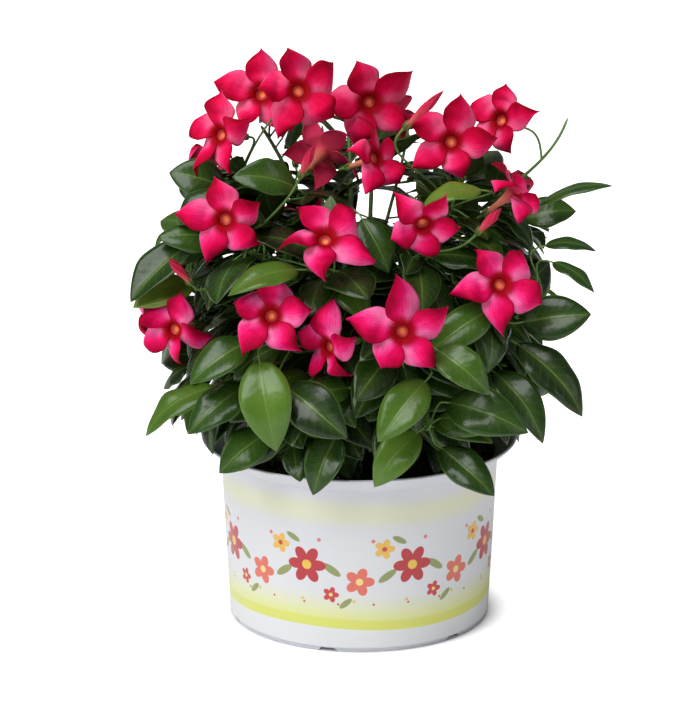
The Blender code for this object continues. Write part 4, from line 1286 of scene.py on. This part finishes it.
def petal_back():
    """Outer face: peach tube and funnel, and paler pink petals."""
    shading = Shading("petal_back", Specular_IOR_Level=0.08)
    across, along = shading.place()
    soft = shading.noise(60.0, 3.0)
    streaks = shading.streaks(across * 22.0, along, 0.0)
    pink = shading.ramp(along + streaks * 0.16 - 0.08,
                        (0.0, (0.620, 0.300, 0.120)), (0.18, (0.800, 0.230, 0.150)),
                        (0.40, (0.820, 0.060, 0.120)), (0.62, (0.800, 0.026, 0.120)),
                        (1.0, (0.680, 0.010, 0.075)))
    colour = shading.mix(soft * 0.25, pink, (0.900, 0.180, 0.300))
    return shading.finish(colour, soft, 0.45, 0.62, streaks, 0.30)


def stamen_look():
    shading = Shading("stamens", Roughness=0.5)
    _, along = shading.place()
    return shading.set(Base_Color=shading.ramp(
        along + shading.noise(700.0) * 0.20 - 0.10,
        (0.00, (1.000, 0.360, 0.100)), (0.30, (1.000, 0.230, 0.065)),
        (0.60, (0.640, 0.030, 0.016)), (0.85, (0.400, 0.003, 0.009))))


def bud_look():
    shading = Shading("bud_look", Specular_IOR_Level=0.12)
    across, along = shading.place()
    streaks = shading.noise(260.0, 3.0)
    pink = shading.ramp(along + streaks * 0.3 - 0.15,
                        (0.0, (0.480, 0.200, 0.080)), (0.22, (0.700, 0.090, 0.110)),
                        (0.6, (0.600, 0.010, 0.060)), (1.0, (0.280, 0.004, 0.025)))
    groove = shading.smooth(across, 0.35, 0.85)
    colour = shading.mix(groove * 0.30, pink, (0.850, 0.090, 0.190))
    return shading.finish(colour, streaks, 0.40, 0.55, streaks, 0.25, 0.0006)


PETAL_ACROSS = 12
PETAL_ALONG = 22
PETAL_OVERLAP = 0.07
# Place along the corolla, from the tube's foot (0) to the petals' tips (1), where the throat ends
THROAT_PLACE = 0.40
# Radius and height of the corolla's inner section, from the tube's foot up to the throat
TUBE_SECTION = (
    (0.0016, -0.0375), (0.0017, -0.0300), (0.0022, -0.0220), (0.0030, -0.0160), (0.0042, -0.0110),
    (0.0053, -0.0072), (0.0062, -0.0046),
)
# The same for the hollow that closes the funnel, from its middle over its rim and down
THROAT_SECTION = (
    (0.0010, -0.0080), (0.0022, -0.0076), (0.0034, -0.0069), (0.0046, -0.0061), (0.0054, -0.0055),
    (0.0056, -0.0058), (0.0047, -0.0088), (0.0028, -0.0150),
)
THROAT_SIDES = 20
THROAT_RIM = 0.0056
THROAT_LOWEST = -0.0085
# Limits of each petal's own margin: phase and swing of its ruffle, keel and cup
PETAL_WAVES = ((0, 6.3), (0.02, 0.06), (-0.03, 0.05), (-0.03, 0.10))
# Share of the length and width of a rolled bud
BUD_SHAPE = ((0.0, 0.55), (0.15, 0.62), (0.30, 0.75), (0.45, 0.92), (0.58, 1.0), (0.70, 0.90),
             (0.80, 0.70), (0.90, 0.42), (1.0, 0.08))
BUD_SIDES = 30
BUD_STEPS = 26
BUD_TURN = 2.2
BUD_FOLD = 0.28


def fine_petal_point(bloom, number, u, w, waves):
    """Point of a petal from the throat (w = 0) to the tip (1), with one margin over its neighbour.

    Past the sinus it keeps the outline of the solid's petal, with a soft keel and a ruffled margin.
    """
    phase, swing, keel, cup = waves[number]
    petal = bloom.petals[number]
    radius = bloom.radius
    step = math.pi / PETALS
    start = SINUS_SHARE * math.cos(step)
    share = between((THROAT_SHARE, petal.long), w)
    v = (share - start) / (petal.long - start)
    lapped = min(1, max(0, (share - THROAT_SHARE) / 0.62))
    flange = PETAL_OVERLAP * math.sin(math.pi * lapped) ** 1.5
    if v < 0:
        half = share * math.tan(step) + flange
        arc = u * math.atan(half / share)
        out = share / math.cos(step) * math.cos(arc)
        side = share / math.cos(step) * math.sin(arc)
        height = THROAT_RISE / radius * (v * start / (THROAT_SHARE - start)) ** 1.5
    else:
        broad = petal.broad * math.sin(math.pi * min(v, 1)) ** PETAL_TAPER
        half = SINUS_SHARE * math.sin(step) * (1 - v) + broad + flange
        out = start * (1 - v) + petal.long * v
        out += start * (math.cos(step * u) / math.cos(step) - 1) * (1 - v)
        side = u * half + petal.lean * v ** 3
        height = 0.10 * math.sin(2.5 * v) - petal.curl * v * v
        height += PETAL_RIDGE * (1 - u * u) * math.sin(math.pi * v)
    rise = math.sin(math.pi / 2 * w)
    height += max(petal.twist, 0.2) * u * half * rise
    height += swing * math.sin(7.5 * w + phase + u * 1.1) * abs(u) * rise
    height += keel * math.cos(math.pi * u) * rise * 0.5 - cup * u * u * rise * rise
    angle = 2 * step * number
    x = out * math.cos(angle) - side * math.sin(angle)
    y = out * math.sin(angle) + side * math.cos(angle)
    return bloom.throat + (bloom.across * x + bloom.over * y + bloom.axis * height) * radius


def bloom_piece(number, bloom, materials, draw):
    build = Build()
    around = PETALS * PETAL_ACROSS
    waves = [[draw.uniform(*limits) for limits in PETAL_WAVES] for _ in range(PETALS)]
    tint = draw.uniform(0, 9)
    rings = []
    section = TUBE_SECTION + ((bloom.radius * THROAT_SHARE, THROAT_RISE),)
    for n, (radius, height) in enumerate(section):
        along = THROAT_PLACE * n / (len(section) - 1)
        rings.append([])
        for k in range(around):
            angle = 2 * math.pi * (k - PETAL_ACROSS / 2) / around
            rings[-1].append(build.point(ring_point(bloom, angle, radius, height),
                                         k % PETAL_ACROSS / PETAL_ACROSS, along, tint))
    for first, second in zip(rings, rings[1:]):
        build.band(closed(first), closed(second))
    for petal in range(PETALS):
        start = petal * PETAL_ACROSS
        rows = [[rings[-1][(start + i) % around] for i in range(PETAL_ACROSS + 1)]]
        for j in range(1, PETAL_ALONG + 1):
            w = 0.995 * j / PETAL_ALONG
            along = THROAT_PLACE + 0.60 * w
            rows.append([])
            for i in range(PETAL_ACROSS + 1):
                place = fine_petal_point(bloom, petal, 2 * i / PETAL_ACROSS - 1, w, waves)
                rows[-1].append(build.point(place, i / PETAL_ACROSS, along, tint + petal))
        for first, second in zip(rows, rows[1:]):
            build.band(first, second)
    corolla = build.finish(f"corolla_{number:02d}", "petal_pink", [f"bloom_{number:02d}"], materials)
    thicken = corolla.modifiers.new("thicken", "SOLIDIFY")
    thicken.thickness = SHEET
    thicken.offset = -1
    thicken.material_offset = 1


def throat_piece(number, bloom, material):
    """The closed depth of the throat: a hollow of stamens and hairs that fills the funnel."""
    build = Build()
    rings = []
    for radius, height in THROAT_SECTION:
        share = min(1, radius / THROAT_RIM) if height > THROAT_LOWEST else 1
        rings.append([build.point(ring_point(bloom, angle, radius, height), k / THROAT_SIDES, share)
                      for k, angle in enumerate(turns(THROAT_SIDES))])
    for first, second in zip(rings, rings[1:]):
        build.band(closed(first), closed(second))
    build.face(rings[0])
    build.face(reversed(rings[-1]))
    build.finish(f"stamens_{number:02d}", "petal_pink", [], [material])


def bud_piece(number, bud, material):
    """Rolled bud with twisted folds."""
    build = Build()
    across = square_to(bud.axis, TUBE_ACROSS)
    over = bud.axis.cross(across)
    rows = []
    for n in range(BUD_STEPS + 1):
        share = n / BUD_STEPS
        for (a, wide), (b, next_wide) in zip(BUD_SHAPE, BUD_SHAPE[1:]):
            if a <= share <= b:
                width = wide + (next_wide - wide) * (share - a) / (b - a)
        row = []
        for angle in turns(BUD_SIDES):
            fold = (PETALS * angle / (2 * math.pi) + BUD_TURN * share) % 1.0
            radius = BUD_RADIUS * width * (1.00 + BUD_FOLD * fold * min(1, 3 * share))
            place = bud.foot + bud.axis * (bud.length * share)
            row.append(build.point(place + turned(across, over, angle) * radius, fold, share))
        rows.append(closed(row))
    build.skin(rows)
    build.finish(f"rolled_bud_{number}", "bud_pink", [f"bud_{number}"], [material])


# Pot

POT_SEGMENTS = 256
EDGE_ROUNDING = 0.0012
EDGE_STEPS = 4
INNER_ROWS = 30
PRINT_FOOT = 0.003
PRINT_TOP = 0.1555
PRINT_RADIUS = 0.1245
CIRCLE = 2 * math.pi * PRINT_RADIUS
PRINT_BLUR = 0.0006
# Washes round the wall: where each starts and is full, ends and is full, strength and colour
WASHES = (
    (0.116, 0.132, 0.151, 0.136, 0.85, (0.800, 0.820, 0.580)),
    (0.0215, 0.0235, 0.0420, 0.0340, 0.90, (0.700, 0.740, 0.080)),
    (0.030, 0.034, 0.060, 0.036, 0.80, (0.770, 0.800, 0.400)),
)
# Parts of the garland: repeats round the wall, share of a repeat and height, and then
# for blossoms the radius, lobes and two colours
MOTIFS = (
    (8, 0.00, 0.0830, 0.0185, 6, (0.520, 0.030, 0.045), (0.870, 0.560, 0.080)),
    (8, 0.50, 0.0690, 0.0140, 5, (0.780, 0.170, 0.120), (0.900, 0.720, 0.250)),
    (8, 0.27, 0.1000, 0.0100, 5, (0.860, 0.520, 0.100), (0.600, 0.060, 0.050)),
    (8, 0.77, 0.0560, 0.0080, 5, (0.600, 0.050, 0.060), (0.900, 0.720, 0.250)),
)
LOBE_DEPTH = 0.45
HEART_SHARE = 0.26
# for dots the radius and colour
DOTS = (
    (16, 0.25, 0.1080, 0.0021, (0.720, 0.220, 0.150)),
    (16, 0.60, 0.0500, 0.0019, (0.760, 0.560, 0.120)),
    (24, 0.10, 0.0470, 0.0014, (0.520, 0.060, 0.060)),
)
# and for leaves the half length, half width and lean
LEAVES = (
    (8, 0.24, 0.0740, 0.0105, 0.0038, 0.6),
    (8, 0.76, 0.0800, 0.0105, 0.0038, -0.6),
    (8, 0.13, 0.1080, 0.0080, 0.0030, -0.5),
    (8, 0.63, 0.0480, 0.0080, 0.0030, 0.7),
)
PRINTED_LEAF = (0.300, 0.340, 0.120)


def pot_wall():
    """White glossy plastic with a print: a cream and two lime washes, and a plain garland."""
    shading = Shading("pot_wall", Coat_Weight=0.25, Coat_Roughness=0.12)
    x, y, z = shading.parts()
    turn = shading.math("ARCTAN2", x, y * -1.0)
    fine = shading.noise(700.0)
    colour = shading.mix(shading.noise(9.0), (0.725, 0.740, 0.785), (0.785, 0.795, 0.825))
    height = z + shading.math("SINE", turn * 3.0) * 0.0018
    for low, low_full, high, high_full, strength, tone in WASHES:
        wash = shading.smooth(height, low, low_full) * shading.smooth(height, high, high_full)
        colour = shading.mix(wash * strength, colour, tone)
    colour = garland(shading, turn * PRINT_RADIUS, z, colour)
    return shading.finish(colour, fine, 0.26, 0.36, fine, 0.05, 0.0004)


def spot(shading, x, y, radius, lobes=0):
    """Mask of a disc, or of a blossom with round lobes."""
    distance = shading.math("SQRT", x * x + y * y)
    if not lobes:
        return shading.smooth(distance, radius, radius - PRINT_BLUR)
    angle = shading.math("ARCTAN2", y, x) * (lobes / 2)
    wave = shading.math("ABSOLUTE", shading.math("COSINE", angle))
    edge = wave * (radius * LOBE_DEPTH) + radius * (1 - LOBE_DEPTH)
    return shading.smooth(edge - distance, 0.0, PRINT_BLUR)


def garland(shading, arc, z, colour):
    def place(count, shift, height):
        """Place across and over the middle of a part, measured along the wall."""
        period = CIRCLE / count
        share = shading.math("FRACT", arc / period + shift)
        return (share - 0.5) * period, z - height

    for *where, long, wide, lean in LEAVES:
        x, y = place(*where)
        along = x * math.cos(lean) + y * math.sin(lean)
        aside = y * math.cos(lean) - x * math.sin(lean)
        colour = shading.mix(spot(shading, along * (wide / long), aside, wide), colour, PRINTED_LEAF)
    for *where, radius, lobes, petal, heart in MOTIFS:
        x, y = place(*where)
        colour = shading.mix(spot(shading, x, y, radius, lobes), colour, petal)
        colour = shading.mix(spot(shading, x, y, radius * HEART_SHARE), colour, heart)
    for *where, radius, tone in DOTS:
        colour = shading.mix(spot(shading, *place(*where), radius), colour, tone)
    return colour


def bare_plastic():
    shading = Shading("pot_plastic", Coat_Weight=0.2, Coat_Roughness=0.15)
    fine = shading.noise(800.0)
    colour = shading.mix(shading.noise(20.0), (0.600, 0.615, 0.690), (0.740, 0.745, 0.790))
    return shading.finish(colour, fine, 0.28, 0.40, fine, 0.08, 0.0004)


def rounded(profile, fillet):
    """A section with each of its corners rounded off by a short curve."""
    points = [profile[0]]
    for before, corner, after in zip(profile, profile[1:], profile[2:]):
        ends = []
        for other in (before, after):
            span = math.dist(corner, other)
            share = min(fillet, span * 0.45) / span
            ends.append(tuple(c + (o - c) * share for c, o in zip(corner, other)))
        for step in range(EDGE_STEPS + 1):
            t = step / EDGE_STEPS
            points.append(tuple((1 - t) ** 2 * a + 2 * t * (1 - t) * c + t * t * b
                                for a, c, b in zip(ends[0], corner, ends[1])))
    points.append(profile[-1])
    return points


def pot_piece():
    """The turned pot with rounded edges and with notches in its foot ring."""
    section = rounded(pot_profile(), EDGE_ROUNDING)
    gap = 2 * math.pi / NOTCHES
    build = Build()
    rows = []
    for radius, height in section:
        on_ring = radius > FOOT_RADIUS - FOOT_RING_WIDTH - 0.001
        row = []
        for k, angle in enumerate(turns(POT_SEGMENTS)):
            off = (angle - FIRST_NOTCH + math.pi / NOTCHES) % gap - math.pi / NOTCHES
            notched = on_ring and abs(off) * FOOT_RADIUS < NOTCH_WIDTH / 2
            place = polar(radius, angle, max(height, NOTCH_HEIGHT) if notched else height)
            row.append(build.point(place, k / POT_SEGMENTS, height))
        rows.append(closed(row))
    for n in range(1, len(rows) - 2):
        heights = [build.verts[row[0]].z for row in rows[n:n + 2]]
        outside = n > INNER_ROWS and min(section[n][0], section[n + 1][0]) >= WALL_FOOT_RADIUS - 0.001
        printed = outside and max(heights) < PRINT_TOP and min(heights) > PRINT_FOOT
        build.band(rows[n], rows[n + 1], 0 if printed else 1)
    build.face(rows[1][:-1], 1)
    build.face(reversed(rows[-2][:-1]), 1)
    build.finish("pot_body", "white_plastic", ["pot"], [pot_wall(), bare_plastic()])


# Soil

SOIL_AROUND = 160
SOIL_RINGS = 46
CLODS = 620
CLOD_SIZES = (0.0012, 0.0036)
CLOD_SIDES = 7
# Height and width of a clod's rings, as shares of its size
CLOD_RINGS = ((-0.7, 0.6), (-0.15, 1.0), (0.45, 0.85), (0.85, 0.35))
WHITE_EVERY = 14
WHITE_SIZE = 0.6


def soil_look():
    shading = Shading("soil_crumbs")
    grain = shading.noise(220.0, 5.0)
    lumps = shading.node("TexVoronoi", {"Vector": shading.position(), "Scale": 320.0}, "Distance")
    colour = shading.ramp(grain * (lumps * 0.7 + 0.6), (0.2, (0.010, 0.006, 0.004)),
                          (0.5, (0.045, 0.028, 0.018)), (0.8, (0.120, 0.080, 0.050)))
    return shading.finish(colour, grain, 0.75, 0.98, grain, 0.9, 0.002)


def perlite_look():
    shading = Shading("perlite", Roughness=0.9)
    return shading.set(Base_Color=shading.mix(shading.noise(400.0, 3.0), (0.45, 0.43, 0.38),
                                              (0.78, 0.77, 0.72)))


def clod(build, centre, size, look, draw):
    """A rough clod: a low round form with uneven corners."""
    rows = []
    for height, width in CLOD_RINGS:
        row = []
        for k in range(CLOD_SIDES):
            angle = 2 * math.pi * (k + draw.uniform(-0.25, 0.25)) / CLOD_SIDES
            radius = size * width * draw.uniform(0.75, 1.2)
            place = polar(radius, angle, size * height * draw.uniform(0.7, 1.1))
            row.append(build.point(centre + place))
        rows.append(closed(row))
    build.skin(rows, look)


def soil_piece():
    """Crumbly potting soil that fills the pot, with clods and a few white grains on top."""
    draw = random.Random(LOOKS_SEED + 1)
    build = Build()
    edge = bore_radius(SOIL_TOP - SOIL_SWELL) - CLEAR
    low = FLOOR + CLEAR
    rows = []
    for n in range(SOIL_RINGS):
        radius = edge * (1 - n / SOIL_RINGS)
        row = []
        for k, angle in enumerate(turns(SOIL_AROUND)):
            place = polar(radius, angle, 0)
            rough = noise.noise(place * 90) * 0.0020 + noise.noise(place * 260) * 0.0012
            place.z = soil_height(radius, angle) + (rough - 0.001 if n else -0.002)
            row.append(build.point(place, k / SOIL_AROUND, n / SOIL_RINGS))
        rows.append(closed(row))
    foot = [build.point(polar(bore_radius(low) - 0.0025, angle, low), 0, 0)
            for angle in turns(SOIL_AROUND)]
    build.skin([closed(foot)] + rows)
    for n in range(CLODS):
        radius = edge * 0.96 * math.sqrt(draw.random())
        angle = draw.uniform(0, 2 * math.pi)
        size = draw.uniform(*CLOD_SIZES)
        white = n % WHITE_EVERY == 0
        if white:
            size *= WHITE_SIZE
        centre = polar(radius, angle, soil_height(radius, angle) + size * 0.1)
        clod(build, centre, size, int(white), draw)
    build.finish("soil_fill", "potting_soil", ["soil"], [soil_look(), perlite_look()])


# Room

WORLD_LIGHT = 0.14
SUN_POWER = 2.15
SUN_SOFTNESS = math.radians(45)
SUN_COURSE = Vector((0.36, 0.40, -1.0))
LIT_PLACE = Vector((0, 0, 0.3))
# Name, place, size and power of the soft boxes
SOFT_BOXES = (
    ("left_box", (-1.7, -1.5, 1.5), (1.0, 1.4), 17),
    ("right_box", (1.9, -1.2, 1.1), (0.7, 1.3), 4),
)
FLOOR_HALF = 20.0
# Reach of the painted contact shadow round the pot's foot
CONTACT_SHADE_REACH = 0.050
FLOOR_SHOWN = 0.88
FLOOR_FILL = 0.15
LENS = 180.7
SENSOR_HEIGHT = 36
SEEN_PLACE = Vector((EYE.x, 0, 0.243))


def room():
    world = bpy.data.worlds.new("studio")
    bpy.context.scene.world = world
    world.use_nodes = True
    world.node_tree.nodes["Background"].inputs["Color"].default_value = (1.0, 1.0, 1.0, 1)
    world.node_tree.nodes["Background"].inputs["Strength"].default_value = WORLD_LIGHT
    sun = bpy.data.lights.new("sky_panel", "SUN")
    sun.energy = SUN_POWER
    sun.angle = SUN_SOFTNESS
    put_in_scene("sky_panel", sun, course=SUN_COURSE)
    for name, place, size, power in SOFT_BOXES:
        light = bpy.data.lights.new(name, "AREA")
        light.shape = "RECTANGLE"
        light.size, light.size_y = size
        light.energy = power
        put_in_scene(name, light, place, LIT_PLACE - Vector(place))

    shading = Shading("floor_paper", Base_Color=(0.93, 0.93, 0.93, 1), Roughness=0.9,
                      Emission_Color=(1, 1, 1, 1))
    # Painted contact shadow: the floor's glow fades by ambient occlusion near the pot's foot
    near = shading.node("AmbientOcclusion", {"Distance": CONTACT_SHADE_REACH}, "AO", samples=16)
    seen = shading.node("LightPath", {}, "Is Camera Ray")
    strength = seen * (FLOOR_SHOWN - FLOOR_FILL) + FLOOR_FILL
    strength = strength * shading.smooth(near, 0.40, 0.80)
    mesh = bpy.data.meshes.new("studio_floor")
    corners = [(x * FLOOR_HALF, y * FLOOR_HALF, 0) for x, y in ((-1, -1), (1, -1), (1, 1), (-1, 1))]
    mesh.from_pydata(corners, [], [(0, 1, 2, 3)])
    mesh.materials.append(shading.set(Emission_Strength=strength))
    floor = put_in_scene("studio_floor", mesh)


def camera():
    view = bpy.data.cameras.new("camera")
    view.lens = LENS
    view.sensor_fit = "VERTICAL"
    view.sensor_height = SENSOR_HEIGHT
    bpy.context.scene.camera = put_in_scene("camera", view, EYE, SEEN_PLACE - EYE)


camera()
room()
bpy.context.scene.view_settings.view_transform = "Standard"
bpy.context.scene.view_settings.look = "None"

shoots, blooms, buds, stalks, large, fill = lay_plant()
stem_pieces(shoots, blooms, buds, stalks, large, fill, [leaf_face(), leaf_back(), stem_bark()])
stamens = stamen_look()
bloom_draw = random.Random(LOOKS_SEED + 2)
petal_looks = [petal_face(), petal_back()]
for number, bloom in enumerate(blooms, 1):
    bloom_piece(number, bloom, petal_looks, bloom_draw)
    throat_piece(number, bloom, stamens)
rolled = bud_look()
for number, bud in enumerate(buds, 1):
    bud_piece(number, bud, rolled)
pot_piece()
soil_piece()
